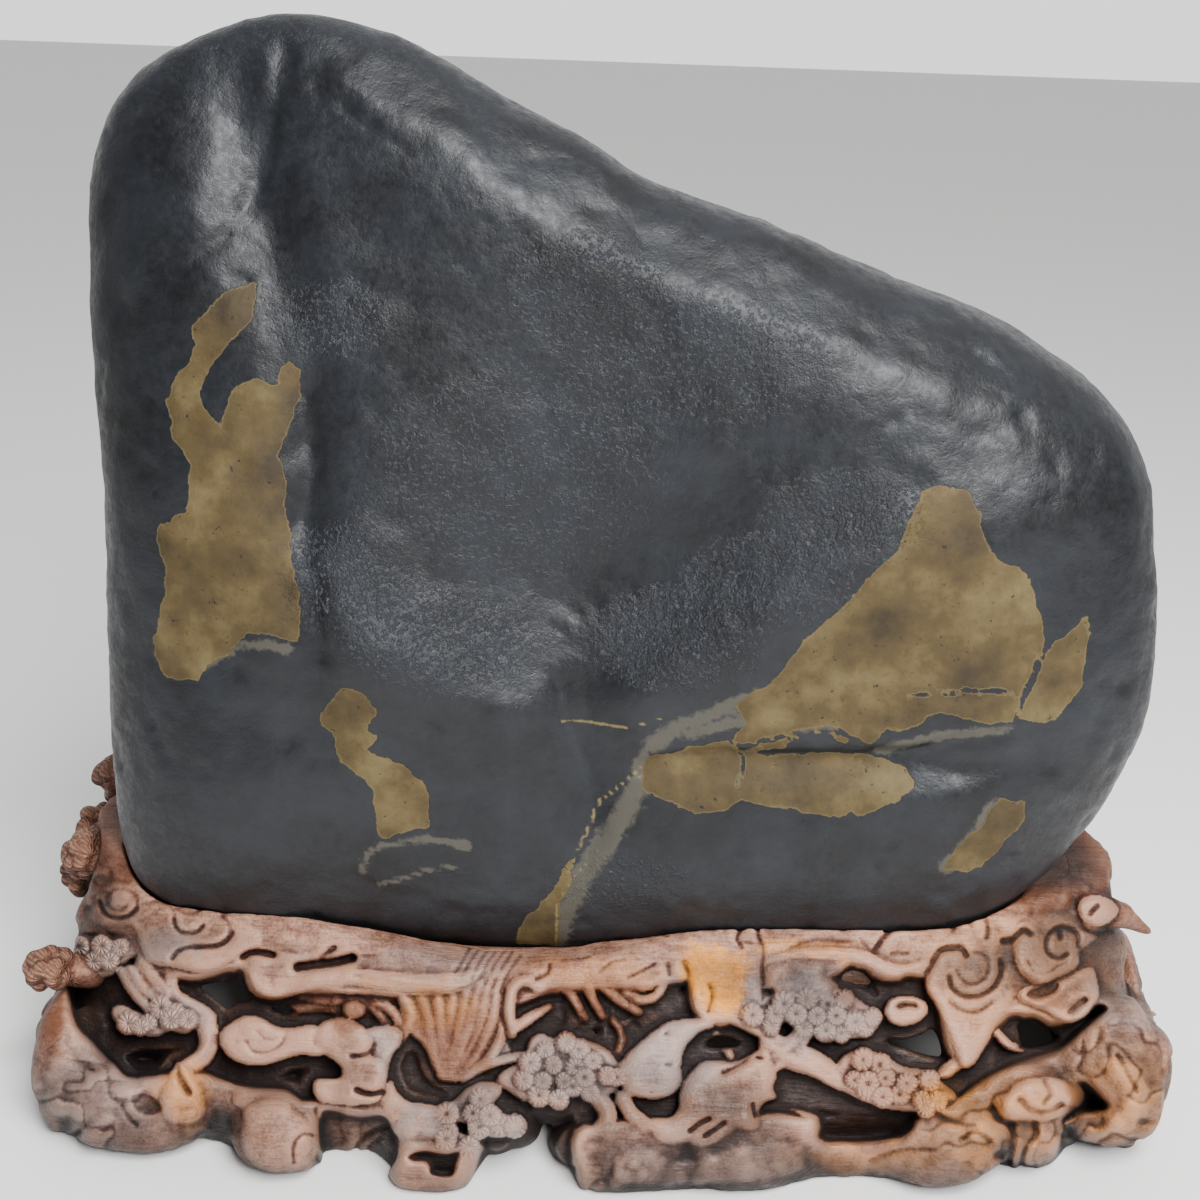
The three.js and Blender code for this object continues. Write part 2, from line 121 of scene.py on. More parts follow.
def smooth(low, high, value):
    share = np.clip((value - low) / (high - low), 0, 1)
    return share * share * (3 - 2 * share)


def mix(a, b, share):
    return a + (b - a) * share


def openCurve(points, spacing):
    # a soft curve through points, with a new point about every `spacing`
    points = np.array(points, float)
    ends = np.vstack([2 * points[0] - points[1], points, 2 * points[-1] - points[-2]])
    return curveThrough(ends, spacing)


def closedCurve(points, spacing):
    points = np.array(points, float)
    return curveThrough(np.vstack([points[-1], points, points[:2]]), spacing)


def curveThrough(points, spacing):
    pieces = []
    for a, b, c, d in zip(points, points[1:], points[2:], points[3:]):
        gaps = [max(1e-6, np.linalg.norm(q[:3] - p[:3]) ** 0.5) for p, q in ((a, b), (b, c), (c, d))]
        out = (b - a) / gaps[0] - (c - a) / (gaps[0] + gaps[1]) + (c - b) / gaps[1]
        into = (c - b) / gaps[1] - (d - b) / (gaps[1] + gaps[2]) + (d - c) / gaps[2]
        steps = max(2, int(gaps[1] ** 2 / spacing + 0.5))
        t = np.linspace(0, 1, steps, endpoint=False)[:, None]
        first, last = out * gaps[1], into * gaps[1]
        pieces.append(b + first * t + (3 * (c - b) - 2 * first - last) * t ** 2
                      + (2 * (b - c) + first + last) * t ** 3)
    return np.vstack(pieces + [points[-2:-1]])


def lineDistance(points, x, z):
    # distance of every x, z from a line of points
    near = np.full(np.broadcast(x, z).shape, 1e6)
    for (ax, az), (bx, bz) in zip(points[:-1], points[1:]):
        length = (bx - ax) ** 2 + (bz - az) ** 2 + 1e-9
        t = np.clip(((x - ax) * (bx - ax) + (z - az) * (bz - az)) / length, 0, 1)
        near = np.minimum(near, np.hypot(x - ax - t * (bx - ax), z - az - t * (bz - az)))
    return near


def outlineDistance(points, x, z):
    # the same from a closed outline, and below zero inside it
    points = np.asarray(points)
    if np.linalg.norm(points[0] - points[-1]) > 1e-6:
        points = np.vstack([points, points[:1]])
    near = lineDistance(points, x, z)
    inside = np.zeros(near.shape, bool)
    for (ax, az), (bx, bz) in zip(points[:-1], points[1:]):
        if az != bz:
            inside ^= ((az > z) != (bz > z)) & (x < (bx - ax) * (z - az) / (bz - az) + ax)
    return np.where(inside, -near, near)


def noiseAt(points, size, seed):
    # smooth random values between -1 and 1 that change over `size` millimetres
    low = points.min(0) - size
    at = (points - low) / size
    counts = at.max(0).astype(int) + 3
    lattice = np.random.default_rng(seed).uniform(-1, 1, counts)
    cell = at.astype(int)
    share = at - cell
    share = share * share * (3 - 2 * share)
    total = np.zeros(len(points))
    for i in (0, 1):
        for j in (0, 1):
            for k in (0, 1):
                weight = (np.where(i, share[:, 0], 1 - share[:, 0])
                          * np.where(j, share[:, 1], 1 - share[:, 1])
                          * np.where(k, share[:, 2], 1 - share[:, 2]))
                total += weight * lattice[cell[:, 0] + i, cell[:, 1] + j, cell[:, 2] + k]
    return total


def spotted(spots, u, v):
    # how far places are inside soft spots: u, v, half width, half height, strength
    total = np.zeros(len(u))
    for middleU, middleV, halfU, halfV, strength in spots:
        far = np.hypot((u - middleU) / halfU, (v - middleV) / halfV)
        total = np.maximum(total, strength * smooth(1.2, 0.5, far))
    return total


def blurred(values, reach):
    for _ in range(2):
        for axis in range(values.ndim):
            edges = [(reach + 1, reach) if k == axis else (0, 0) for k in range(values.ndim)]
            total = np.cumsum(np.pad(values, edges, mode="edge"), axis=axis)
            ahead = np.take(total, range(2 * reach + 1, total.shape[axis]), axis)
            behind = np.take(total, range(0, total.shape[axis] - 2 * reach - 1), axis)
            values = (ahead - behind) / (2 * reach + 1)
    return values


# Blocks of wood: a grid of distances that is joined to and cut, then turned into a mesh
emptyDistance = 30  # millimetres, all over a new block
band = 3  # the steps of a grid that are kept on either side of its surface


def newBlock(low, high, step):
    counts = [int(round((b - a) / step)) + 1 for a, b in zip(low, high)]
    axes = [a + step * np.arange(n, dtype=np.float32) for a, n in zip(low, counts)]
    return {"step": step, "axes": axes, "field": np.full(counts, emptyDistance, np.float32)}


def part(block, low, high):
    # the slices of a block between two corners, and its x, y and z there
    slices, places = [], []
    for k, axis in enumerate(block["axes"]):
        first = max(0, int((low[k] - axis[0]) / block["step"]))
        last = min(len(axis), int((high[k] - axis[0]) / block["step"]) + 2)
        slices.append(slice(first, max(first, last)))
        shape = [1, 1, 1]
        shape[k] = -1
        places.append(axis[slices[k]].reshape(shape))
    return tuple(slices), places


def whole(block):
    low = [axis[0] for axis in block["axes"]]
    high = [axis[-1] for axis in block["axes"]]
    return part(block, low, high)


def blendMin(a, b, reach):
    share = np.clip(0.5 + 0.5 * (b - a) / reach, 0, 1)
    return b + (a - b) * share - reach * share * (1 - share)


def join(block, slices, distance, reach=0.5):
    block["field"][slices] = blendMin(block["field"][slices], distance, reach)


def cut(block, slices, distance, reach=0.5):
    block["field"][slices] = -blendMin(-block["field"][slices], distance, reach)


def stretched(values, block, size, low=(0, 0, 0), soft=True):
    # reads a coarse grid with cells of `size` millimetres over a block
    for k, axis in enumerate(block["axes"]):
        at = (axis - axis[0]) / size if soft else axis / size - low[k]
        cell = np.clip(at.astype(int), 0, values.shape[k] - 2)
        share = (at - cell).astype(np.float32)
        form = [1, 1, 1]
        form[k] = -1
        share = (share * share * (3 - 2 * share) if soft else share).reshape(form)
        values = np.take(values, cell, k) * (1 - share) + np.take(values, cell + 1, k) * share
    return values


def blockNoise(block, size, seed):
    counts = [int(n * block["step"] / size) + 3 for n in block["field"].shape]
    return stretched(np.random.default_rng(seed).uniform(-1, 1, counts).astype(np.float32), block, size)


def capsules(block, points, radii, reach):
    # joins a round rod that runs through points with a radius at each
    points, radii = np.asarray(points, float), np.asarray(radii, float)
    for a, b, start, end in zip(points[:-1], points[1:], radii[:-1], radii[1:]):
        margin = max(start, end) + reach + 2 * block["step"]
        slices, (x, y, z) = part(block, np.minimum(a, b) - margin, np.maximum(a, b) + margin)
        along = b - a
        length = float(along @ along) + 1e-9
        t = np.clip(((x - a[0]) * along[0] + (y - a[1]) * along[1] + (z - a[2]) * along[2]) / length, 0, 1)
        distance = np.sqrt((x - a[0] - t * along[0]) ** 2 + (y - a[1] - t * along[1]) ** 2
                           + (z - a[2] - t * along[2]) ** 2) - (start + (end - start) * t)
        join(block, slices, distance.astype(np.float32), reach)


def ball(block, middle, half, reach):
    # joins a ball that may be longer one way than another
    middle, half = np.array(middle, float), np.array(half, float)
    margin = reach + 2 * block["step"]
    slices, (x, y, z) = part(block, middle - half - margin, middle + half + margin)
    parts = [(v - c) / h for v, c, h in zip((x, y, z), middle, half)]
    far = np.sqrt(sum(p * p for p in parts)) + 1e-6
    slope = np.sqrt(sum((p / h) ** 2 for p, h in zip(parts, half))) + 1e-6
    join(block, slices, (far * (far - 1) / slope).astype(np.float32), reach)


def surfaceOf(block):
    # the mesh of a block: points in millimetres, triangles and quads
    grid = openvdb.FloatGrid(float(band))
    values = np.clip(block["field"] / block["step"], -band, band).astype(np.float32)
    for k in range(3):  # softens the steps of the grid
        values = 0.5 * values + 0.25 * (np.roll(values, 1, k) + np.roll(values, -1, k))
    for k in range(3):  # the outer layer is empty, so that the mesh closes
        edge = [slice(None)] * 3
        for side in (0, -1):
            edge[k] = side
            values[tuple(edge)] = band
    grid.copyFromArray(values, tolerance=0.0)
    points, triangles, quads = grid.convertToPolygons(0.0, 0.0)
    low = np.array([axis[0] for axis in block["axes"]])
    return (low + points * block["step"], triangles[:, ::-1].astype(np.int64),
            quads[:, ::-1].astype(np.int64))


def facing(points, triangles, quads):
    # unit normals at the points
    normals = np.zeros((len(points), 3))
    for faces in (triangles, quads):
        if len(faces) == 0:
            continue
        across = points[faces[:, 2]] - points[faces[:, 0]]
        other = points[faces[:, -1]] - points[faces[:, 1]]
        normal = np.cross(across, other)
        for column in range(faces.shape[1]):
            for k in range(3):
                normals[:, k] += np.bincount(faces[:, column], normal[:, k], len(points))
    return normals / (np.linalg.norm(normals, axis=1, keepdims=True) + 1e-9)


def joined(surfaces):
    points, triangles, quads, count = [], [], [], 0
    for p, t, q in surfaces:
        points.append(p)
        triangles.append(t + count)
        quads.append(q + count)
        count += len(p)
    return np.vstack(points), np.vstack(triangles), np.vstack(quads)


def between(surface, values, low, high):
    # the faces of a surface whose first point has its x between two planes
    points, triangles, quads = surface
    kept = [faces[(points[faces[:, 0], 0] >= low) & (points[faces[:, 0], 0] < high)]
            for faces in (triangles, quads)]
    used, index = np.unique(np.concatenate([faces.ravel() for faces in kept]), return_inverse=True)
    index = index.ravel()
    count = kept[0].size
    return ((points[used], index[:count].reshape(-1, 3), index[count:].reshape(-1, 4)),
            {name: numbers[used] for name, numbers in values.items()})


def makeObject(name, surface, material, node, values):
    # a Blender object from a surface in the shapes' millimetres, with named values at its points
    points, triangles, quads = surface
    mesh = bpy.data.meshes.new(name)
    places = ((points + settle) * mm).astype(np.float32)
    low, high = (np.array(corner, np.float32) for corner in cadBox)
    places = np.clip(places, low, high)  # nothing stands past the solids' outer box
    corners = np.concatenate([triangles.ravel(), quads.ravel()]).astype(np.int32)
    sizes = np.concatenate([np.full(len(triangles), 3), np.full(len(quads), 4)])
    starts = np.concatenate([[0], np.cumsum(sizes)[:-1]]).astype(np.int32)
    mesh.vertices.add(len(places))
    mesh.vertices.foreach_set("co", places.ravel())
    mesh.loops.add(len(corners))
    mesh.loops.foreach_set("vertex_index", corners)
    mesh.polygons.add(len(sizes))
    mesh.polygons.foreach_set("loop_start", starts)
    mesh.polygons.foreach_set("use_smooth", np.ones(len(sizes), bool))
    mesh.update(calc_edges=True)
    mesh.validate()
    for key, numbers in values.items():
        attribute = mesh.attributes.new(key, "FLOAT", "POINT")
        attribute.data.foreach_set("value", numbers.astype(np.float32))
    mesh.materials.append(material)
    piece = bpy.data.objects.new(name, mesh)
    bpy.context.scene.collection.objects.link(piece)
    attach(piece, "root")
    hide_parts(node)
    print(f"{name}: {len(triangles) + 2 * len(quads)} triangles")


# Materials

def hexColour(code):
    parts = [int(code[i:i + 2], 16) / 255 for i in (1, 3, 5)]
    return tuple(v / 12.92 if v <= 0.04045 else ((v + 0.055) / 1.055) ** 2.4 for v in parts) + (1.0,)


def addNode(tree, kind, settings=None, links=None):
    # adds a node: settings and links are for its properties and its inputs, by name or by number
    node = tree.nodes.new("ShaderNode" + kind)
    for key, value in (settings or {}).items():
        if key == "stops":
            ramp = node.color_ramp.elements
            while len(ramp) < len(value):
                ramp.new(1)
            for stop, (position, colour) in zip(ramp, value):
                stop.position = position
                stop.color = hexColour(colour) if isinstance(colour, str) else (colour,) * 3 + (1,)
        elif isinstance(key, int) or key in node.inputs:
            node.inputs[key].default_value = value
        else:
            setattr(node, key, value)
    for key, source in (links or {}).items():
        tree.links.new(source, node.inputs[key])
    return node


def newMaterial(name):
    material = bpy.data.materials.new(name)
    material.use_nodes = True
    tree = material.node_tree
    tree.nodes.clear()
    shader = addNode(tree, "BsdfPrincipled")
    addNode(tree, "OutputMaterial", links={"Surface": shader.outputs[0]})
    return material, tree, shader


def perMetre(size):
    # the scale of a noise whose lumps are about `size` millimetres across
    return 1 / (size * mm)


# Dense black stone, water-worn and waxed: a satin skin that picks up broad cool reflections,
# with fine pits, pale specks painted as glints on the ridges, and softer khaki inclusions that stay matt
stoneFinish = {
    "dark": "#17191d",
    "deep": "#0d0e10",
    "bloom": "#1e2126",
    # the pale specks are painted glints
    "speck": "#5a5f6b",
    "khaki": "#473a1f",
    "khakiDark": "#2a2111",
    "khakiPale": "#685b3a",
    "smear": "#48453c",
    "ior": 1.5,
    "specular": 0.33,
    "rough": (0.30, 0.55),
    "matt": 0.7,  # roughness of the inclusions
    "ragged": 0.26,  # how far an inclusion's margin wanders, in the units of its value
    "raggedSize": 4.5,  # millimetres, like the sizes below
    "speckSize": 1.6,  # real specks and grains are finer, and are drawn this coarse to show
    "pitSize": 2.6,
    "grainSize": 0.8,
    "cloudSize": 26.0,
    "speckShare": 0.45,  # how much of its own colour each mark has where it is strongest
    "smearShare": 0.8,
    "chipShare": 0.5,
    "bump": 0.0012,  # metres
    "bumpStrength": 0.7,
    "inlayDrop": -0.3,  # the inclusions lie a little lower, as a share of the bump
}


def waxedStone():
    f = stoneFinish
    material, tree, shader = newMaterial("waxedBlackStone")
    at = addNode(tree, "TexCoord").outputs["Object"]
    value = {name: addNode(tree, "Attribute", {"attribute_name": name}).outputs["Fac"]
             for name in ("inclusion", "vein", "glint", "smear")}
    noise = {name: addNode(tree, "TexNoise",
                           {"Scale": perMetre(f[name + "Size"]), "Detail": detail, "Roughness": 0.62},
                           {"Vector": at}).outputs["Fac"]
             for name, detail in (("cloud", 6.0), ("pit", 5.0), ("speck", 3.0), ("grain", 2.0),
                                  ("ragged", 6.0))}
    body = addNode(tree, "ValToRGB", {"stops": [(0.30, f["deep"]), (0.50, f["dark"]), (0.75, f["bloom"])]},
                   {"Fac": noise["cloud"]}).outputs[0]
    khaki = addNode(tree, "ValToRGB", {"stops": [(0.30, f["khakiDark"]), (0.5, f["khaki"]),
                                                 (0.72, f["khakiPale"])]},
                    {"Fac": noise["cloud"]}).outputs[0]
    # painted glints: pale specks mixed into the colour over the glint bands
    speck = addNode(tree, "ValToRGB", {"stops": [(0.52, 0.0), (0.70, 1.0)]},
                    {"Fac": noise["speck"]}).outputs[0]
    speck = addNode(tree, "Math", {"operation": "MULTIPLY"}, {0: speck, 1: value["glint"]}).outputs[0]
    share = addNode(tree, "Math", {"operation": "MULTIPLY", 1: f["speckShare"]}, {0: speck}).outputs[0]
    colour = addNode(tree, "Mix", {"data_type": "RGBA", 7: hexColour(f["speck"])},
                     {0: share, 6: body}).outputs[2]
    # the streaks break up over the pits
    smear = addNode(tree, "Math", {"operation": "MULTIPLY_ADD", 1: 1.6},
                    {0: noise["pit"], 2: value["smear"]}).outputs[0]
    smear = addNode(tree, "Math", {"operation": "MULTIPLY", 1: 0.66}, {0: smear}).outputs[0]
    smear = addNode(tree, "ValToRGB", {"stops": [(0.74, 0.0), (1.0, 1.0)]}, {"Fac": smear}).outputs[0]
    smear = addNode(tree, "Math", {"operation": "MULTIPLY", 1: f["smearShare"]}, {0: smear}).outputs[0]
    colour = addNode(tree, "Mix", {"data_type": "RGBA", 7: hexColour(f["smear"])},
                     {0: smear, 6: colour}).outputs[2]
    # an inclusion has a ragged margin with a pale chipped edge, and dark holes
    patch = addNode(tree, "Math", {"operation": "SUBTRACT", 1: 0.5}, {0: noise["ragged"]}).outputs[0]
    patch = addNode(tree, "Math", {"operation": "MULTIPLY_ADD", 1: f["ragged"]},
                    {0: patch, 2: value["inclusion"]}).outputs[0]
    inside = addNode(tree, "ValToRGB", {"stops": [(0.495, 0.0), (0.508, 1.0)]}, {"Fac": patch}).outputs[0]
    chipped = addNode(tree, "ValToRGB", {"stops": [(0.497, 0.0), (0.512, 1.0), (0.545, 0.0)]},
                      {"Fac": patch}).outputs[0]
    holes = addNode(tree, "ValToRGB", {"stops": [(0.30, 1.0), (0.36, 0.0)]},
                    {"Fac": noise["pit"]}).outputs[0]
    inlay = addNode(tree, "Mix", {"data_type": "RGBA", 7: hexColour(f["deep"])},
                    {0: holes, 6: khaki}).outputs[2]
    share = addNode(tree, "Math", {"operation": "MULTIPLY", 1: f["chipShare"]}, {0: chipped}).outputs[0]
    inlay = addNode(tree, "Mix", {"data_type": "RGBA", 7: hexColour(f["khakiPale"])},
                    {0: share, 6: inlay}).outputs[2]
    colour = addNode(tree, "Mix", {"data_type": "RGBA"}, {0: inside, 6: colour, 7: inlay}).outputs[2]
    vein = addNode(tree, "Math", {"operation": "MULTIPLY_ADD", 1: 0.5},
                   {0: noise["speck"], 2: value["vein"]}).outputs[0]
    vein = addNode(tree, "ValToRGB", {"stops": [(0.62, 0.0), (0.80, 1.0)]}, {"Fac": vein}).outputs[0]
    colour = addNode(tree, "Mix", {"data_type": "RGBA", 7: hexColour(f["khakiPale"])},
                     {0: vein, 6: colour}).outputs[2]
    tree.links.new(colour, shader.inputs["Base Color"])
    low, high = f["rough"]
    gloss = addNode(tree, "MapRange", {"From Min": 0.3, "From Max": 0.7, "To Min": low, "To Max": high},
                    {"Value": noise["pit"]}).outputs[0]
    gloss = addNode(tree, "Mix", {3: f["matt"]}, {0: inside, 2: gloss}).outputs[0]
    tree.links.new(gloss, shader.inputs["Roughness"])
    grain = addNode(tree, "Math", {"operation": "MULTIPLY_ADD", 1: 0.25},
                    {0: noise["grain"], 2: noise["pit"]}).outputs[0]
    worn = addNode(tree, "Math", {"operation": "MULTIPLY_ADD", 1: 0.8, 2: 0.35},
                   {0: value["glint"]}).outputs[0]
    grain = addNode(tree, "Math", {"operation": "MULTIPLY"}, {0: grain, 1: worn}).outputs[0]
    height = addNode(tree, "Math", {"operation": "MULTIPLY_ADD", 1: 0.9}, {0: speck, 2: grain}).outputs[0]
    height = addNode(tree, "Math", {"operation": "MULTIPLY_ADD", 1: f["inlayDrop"]},
                     {0: inside, 2: height}).outputs[0]
    bump = addNode(tree, "Bump", {"Strength": f["bumpStrength"], "Distance": f["bump"]},
                   {"Height": height})
    tree.links.new(bump.outputs[0], shader.inputs["Normal"])
    shader.inputs["IOR"].default_value = f["ior"]
    shader.inputs["Specular IOR Level"].default_value = f["specular"]
    return material


# Hand-carved root wood, oiled and rubbed: pale worn high spots, partly painted highlight, dark stain
# and painted shade in the recesses, and fine needles cut round the middle of every tuft of the pine sprays
woodFinish = {
    "high": "#a8806b",
    "middle": "#6f4a3c",
    "low": "#381c15",
    # the recess colour also paints the shade and stain in closed-in places
    "recess": "#120806",
    "gold": "#c87f1a",
    "ochre": "#a8703c",
    "grey": "#857a78",
    # this stain colour also paints shade at the stand's dark ends
    "brown": "#562c14",
    "ior": 1.5,
    "specular": 0.3,
    "rough": (0.38, 0.8),
    "fibreWide": 1.3,  # millimetres across the fibres, which are finer on real wood and drawn to show
    "fibreLong": 14.0,  # and along them
    "poreSize": 1.1,  # real pores are finer too
    "cloudSize": 12.0,
    "needles": 11.0,  # round one tuft
    "marks": (0.55, 0.45, 0.45, 0.13),  # how much clouds, fibres, pores and needles change the tone
    "toneShift": -0.42,
    "stains": (("ochre", 0.8), ("grey", 0.8), ("brown", 0.85), ("gold", 0.9)),
    "bump": 0.0009,  # metres
    "bumpStrength": 0.7,
}


def carvedWood():
    f = woodFinish
    material, tree, shader = newMaterial("oiledRootWood")
    at = addNode(tree, "TexCoord").outputs["Object"]
    names = ("cavity", "worn", "gold", "ochre", "grey", "brown", "pad", "needleU", "needleV")
    value = {name: addNode(tree, "Attribute", {"attribute_name": name}).outputs["Fac"] for name in names}
    along, across = perMetre(f["fibreLong"]), perMetre(f["fibreWide"])
    drawn = addNode(tree, "Mapping", {"Scale": (along, across, across)}, {"Vector": at}).outputs[0]
    fibres = addNode(tree, "TexNoise", {"Scale": 1.0, "Detail": 4.0, "Distortion": 0.6},
                     {"Vector": drawn}).outputs["Fac"]
    cloud = addNode(tree, "TexNoise", {"Scale": perMetre(f["cloudSize"]), "Detail": 5.0},
                    {"Vector": at}).outputs["Fac"]
    pores = addNode(tree, "TexNoise", {"Scale": perMetre(f["poreSize"]), "Detail": 2.0},
                    {"Vector": at}).outputs["Fac"]
    turn = addNode(tree, "Math", {"operation": "ARCTAN2"},
                   {0: value["needleV"], 1: value["needleU"]}).outputs[0]
    turn = addNode(tree, "Math", {"operation": "MULTIPLY", 1: f["needles"]}, {0: turn}).outputs[0]
    comb = addNode(tree, "Math", {"operation": "SINE"}, {0: turn}).outputs[0]
    comb = addNode(tree, "Math", {"operation": "MULTIPLY"}, {0: comb, 1: value["pad"]}).outputs[0]
    tone = addNode(tree, "Math", {"operation": "ADD", 1: f["toneShift"]}, {0: value["worn"]}).outputs[0]
    for amount, source in zip(f["marks"], (cloud, fibres, pores, comb)):
        tone = addNode(tree, "Math", {"operation": "MULTIPLY_ADD", 1: amount},
                       {0: source, 2: tone}).outputs[0]
    colour = addNode(tree, "ValToRGB", {"stops": [(0.12, f["recess"]), (0.34, f["low"]),
                                                  (0.62, f["middle"]), (0.95, f["high"])]},
                     {"Fac": tone}).outputs[0]
    shade = addNode(tree, "ValToRGB", {"stops": [(0.15, 0.12), (0.85, 1.25)]}, {"Fac": tone}).outputs[0]
    for name, strength in f["stains"]:
        share = addNode(tree, "Math", {"operation": "MULTIPLY", 1: strength}, {0: value[name]}).outputs[0]
        tint = addNode(tree, "Mix", {"data_type": "RGBA", "blend_type": "MULTIPLY", 0: 1.0,
                                     7: hexColour(f[name])}, {6: shade}).outputs[2]
        colour = addNode(tree, "Mix", {"data_type": "RGBA"}, {0: share, 6: colour, 7: tint}).outputs[2]
    # painted shade and stain: darker towards the recess colour where a place is closed in or lies deep
    dark = addNode(tree, "ValToRGB", {"stops": [(0.25, 0.0), (0.95, 1.0)]},
                   {"Fac": value["cavity"]}).outputs[0]
    colour = addNode(tree, "Mix", {"data_type": "RGBA", 7: hexColour(f["recess"])},
                     {0: dark, 6: colour}).outputs[2]
    tree.links.new(colour, shader.inputs["Base Color"])
    low, high = f["rough"]
    gloss = addNode(tree, "MapRange", {"From Min": 0.3, "From Max": 1.0, "To Min": high, "To Max": low},
                    {"Value": tone}).outputs[0]
    tree.links.new(gloss, shader.inputs["Roughness"])
    height = addNode(tree, "Math", {"operation": "MULTIPLY_ADD", 1: 0.5}, {0: pores, 2: fibres}).outputs[0]
    height = addNode(tree, "Math", {"operation": "MULTIPLY_ADD", 1: 0.5}, {0: comb, 2: height}).outputs[0]
    bump = addNode(tree, "Bump", {"Strength": f["bumpStrength"], "Distance": f["bump"]},
                   {"Height": height})
    tree.links.new(bump.outputs[0], shader.inputs["Normal"])
    shader.inputs["IOR"].default_value = f["ior"]
    shader.inputs["Specular IOR Level"].default_value = f["specular"]
    return material


stoneMaterial, woodMaterial = waxedStone(), carvedWood()
print("materials made")

# The stone: a ball whose equator is the outline, with a blunt foot and a sharper crown
stone = {
    "middle": (0, 215),  # x and z of the face's middle
    "frontReach": 60,
    "backReach": 54,
    "leanFrom": 230,  # above this height the face leans back
    "leanTo": 395,
    "leanKeep": 0.62,
    "bluntFoot": 5,
    "bluntCrown": 2.3,
    "columns": 420,
    "frontRows": 110,
    "backRows": 60,
    "skinStep": 2.0,  # spacing of the points of the finished skin
    "outline": [
        (196, 163), (196, 195), (192, 225), (185, 255), (167, 277), (131, 299), (95, 312), (52, 329),
        (8, 342), (-12, 354), (-45, 369), (-78, 386), (-112, 393), (-142, 386), (-168, 370),
        (-181, 347), (-185, 300), (-182, 230), (-183, 150), (-182, 96), (-172, 76), (-138, 66),
        (-80, 60), (-20, 59), (50, 63), (104, 67), (138, 74), (156, 88), (174, 111), (188, 136),
    ],
    # swells and hollows: x, z, half width, half height, turn in degrees, height outwards
    "faceRelief": [
        (-6, 244, 92, 64, -24, -14), (-12, 214, 46, 34, -8, -5), (-60, 352, 58, 19, -36, 5),
        (8, 318, 62, 19, -26, 5), (92, 289, 62, 20, -18, 4), (-76, 186, 52, 24, -30, 8),
        (58, 204, 74, 22, 30, 8), (-10, 152, 13, 36, 6, -6), (-124, 346, 13, 46, 14, -9),
        (-152, 338, 30, 50, 0, 4), (-105, 232, 10, 52, 0, -5), (-128, 128, 54, 42, 0, 5),
        (18, 104, 58, 26, 0, 4), (118, 128, 54, 34, 8, 5), (84, 153, 58, 7, 3, -5),
    ],
    "backRelief": [
        (60, 230, 80, 60, 20, -9), (-70, 180, 70, 50, -15, 6), (-90, 320, 60, 40, -35, -7),
        (110, 150, 40, 60, 10, 5), (-20, 300, 26, 70, 24, 5),
    ],
    # lines worn into the face or standing on it: half width, height outwards, points x, z
    "lines": [
        (7, 1.6, [(-94, 373), (-57, 353), (-22, 330), (10, 315), (49, 304), (90, 289), (130, 277)]),
        (9, 1.8, [(-104, 219), (-91, 198), (-74, 187), (-57, 177), (-39, 170)]),
        (9, 1.8, [(10, 175), (29, 195), (49, 210), (72, 226), (94, 241)]),
        (3, -1.3, [(-114, 381), (-118, 360), (-123, 339), (-132, 326), (-140, 319)]),
        (2, -0.9, [(-114, 345), (-98, 355), (-84, 360)]),
        (3.5, -1.4, [(-106, 275), (-103, 250), (-106, 232), (-101, 210), (-98, 190)]),
        (3, -1.2, [(-18, 178), (-12, 155), (-3, 132), (-8, 110)]),
        (2.2, -1.5, [(11, 149), (32, 155), (53, 154), (91, 156), (136, 167)]),
        (3.5, -1.0, [(94, 312), (104, 307), (112, 302)]),
        (1.8, -0.8, [(-94, 366), (-86, 360), (-73, 354)]),
    ],
    "lumps": [(44, 1.2, 11), (17, 0.6, 12), (7, 0.35, 13), (4, 0.2, 14)],  # size, height, seed
    "pits": {"count": 420, "radius": (1.5, 4.0), "depth": (0.3, 0.9), "seed": 21},
    "lineWander": (1.8, 9, 15),  # how far the worn lines wander, over what size, seed
    "edgeWander": ((2.5, 9, 31, 32), (2.0, 3.6, 33, 34)),  # the inclusions' margins, two seeds each
    "edgeSoft": 40,  # an inclusion's value changes by 1 over this many photo pixels
    "veinShare": 0.6,
    # rough bands with pale specks painted as glints: photo u, v, half width, half height, strength
    "glints": [(350, 580, 70, 60, 1.0), (440, 640, 100, 55, 0.9), (680, 640, 90, 55, 0.8),
               (770, 580, 90, 50, 0.9), (850, 520, 90, 50, 0.8), (590, 290, 80, 60, 0.7),
               (700, 360, 150, 70, 0.35), (330, 320, 60, 40, 0.5), (520, 470, 160, 110, 0.3),
               (620, 880, 80, 30, 0.4)],
}


def relief(swells, x, z):
    out = np.zeros(np.broadcast(x, z).shape)
    for cx, cz, halfWidth, halfHeight, turn, height in swells:
        c, s = math.cos(math.radians(turn)), math.sin(math.radians(turn))
        u = ((x - cx) * c + (z - cz) * s) / halfWidth
        v = ((z - cz) * c - (x - cx) * s) / halfHeight
        out += height * np.exp(-(u * u + v * v))
    return out


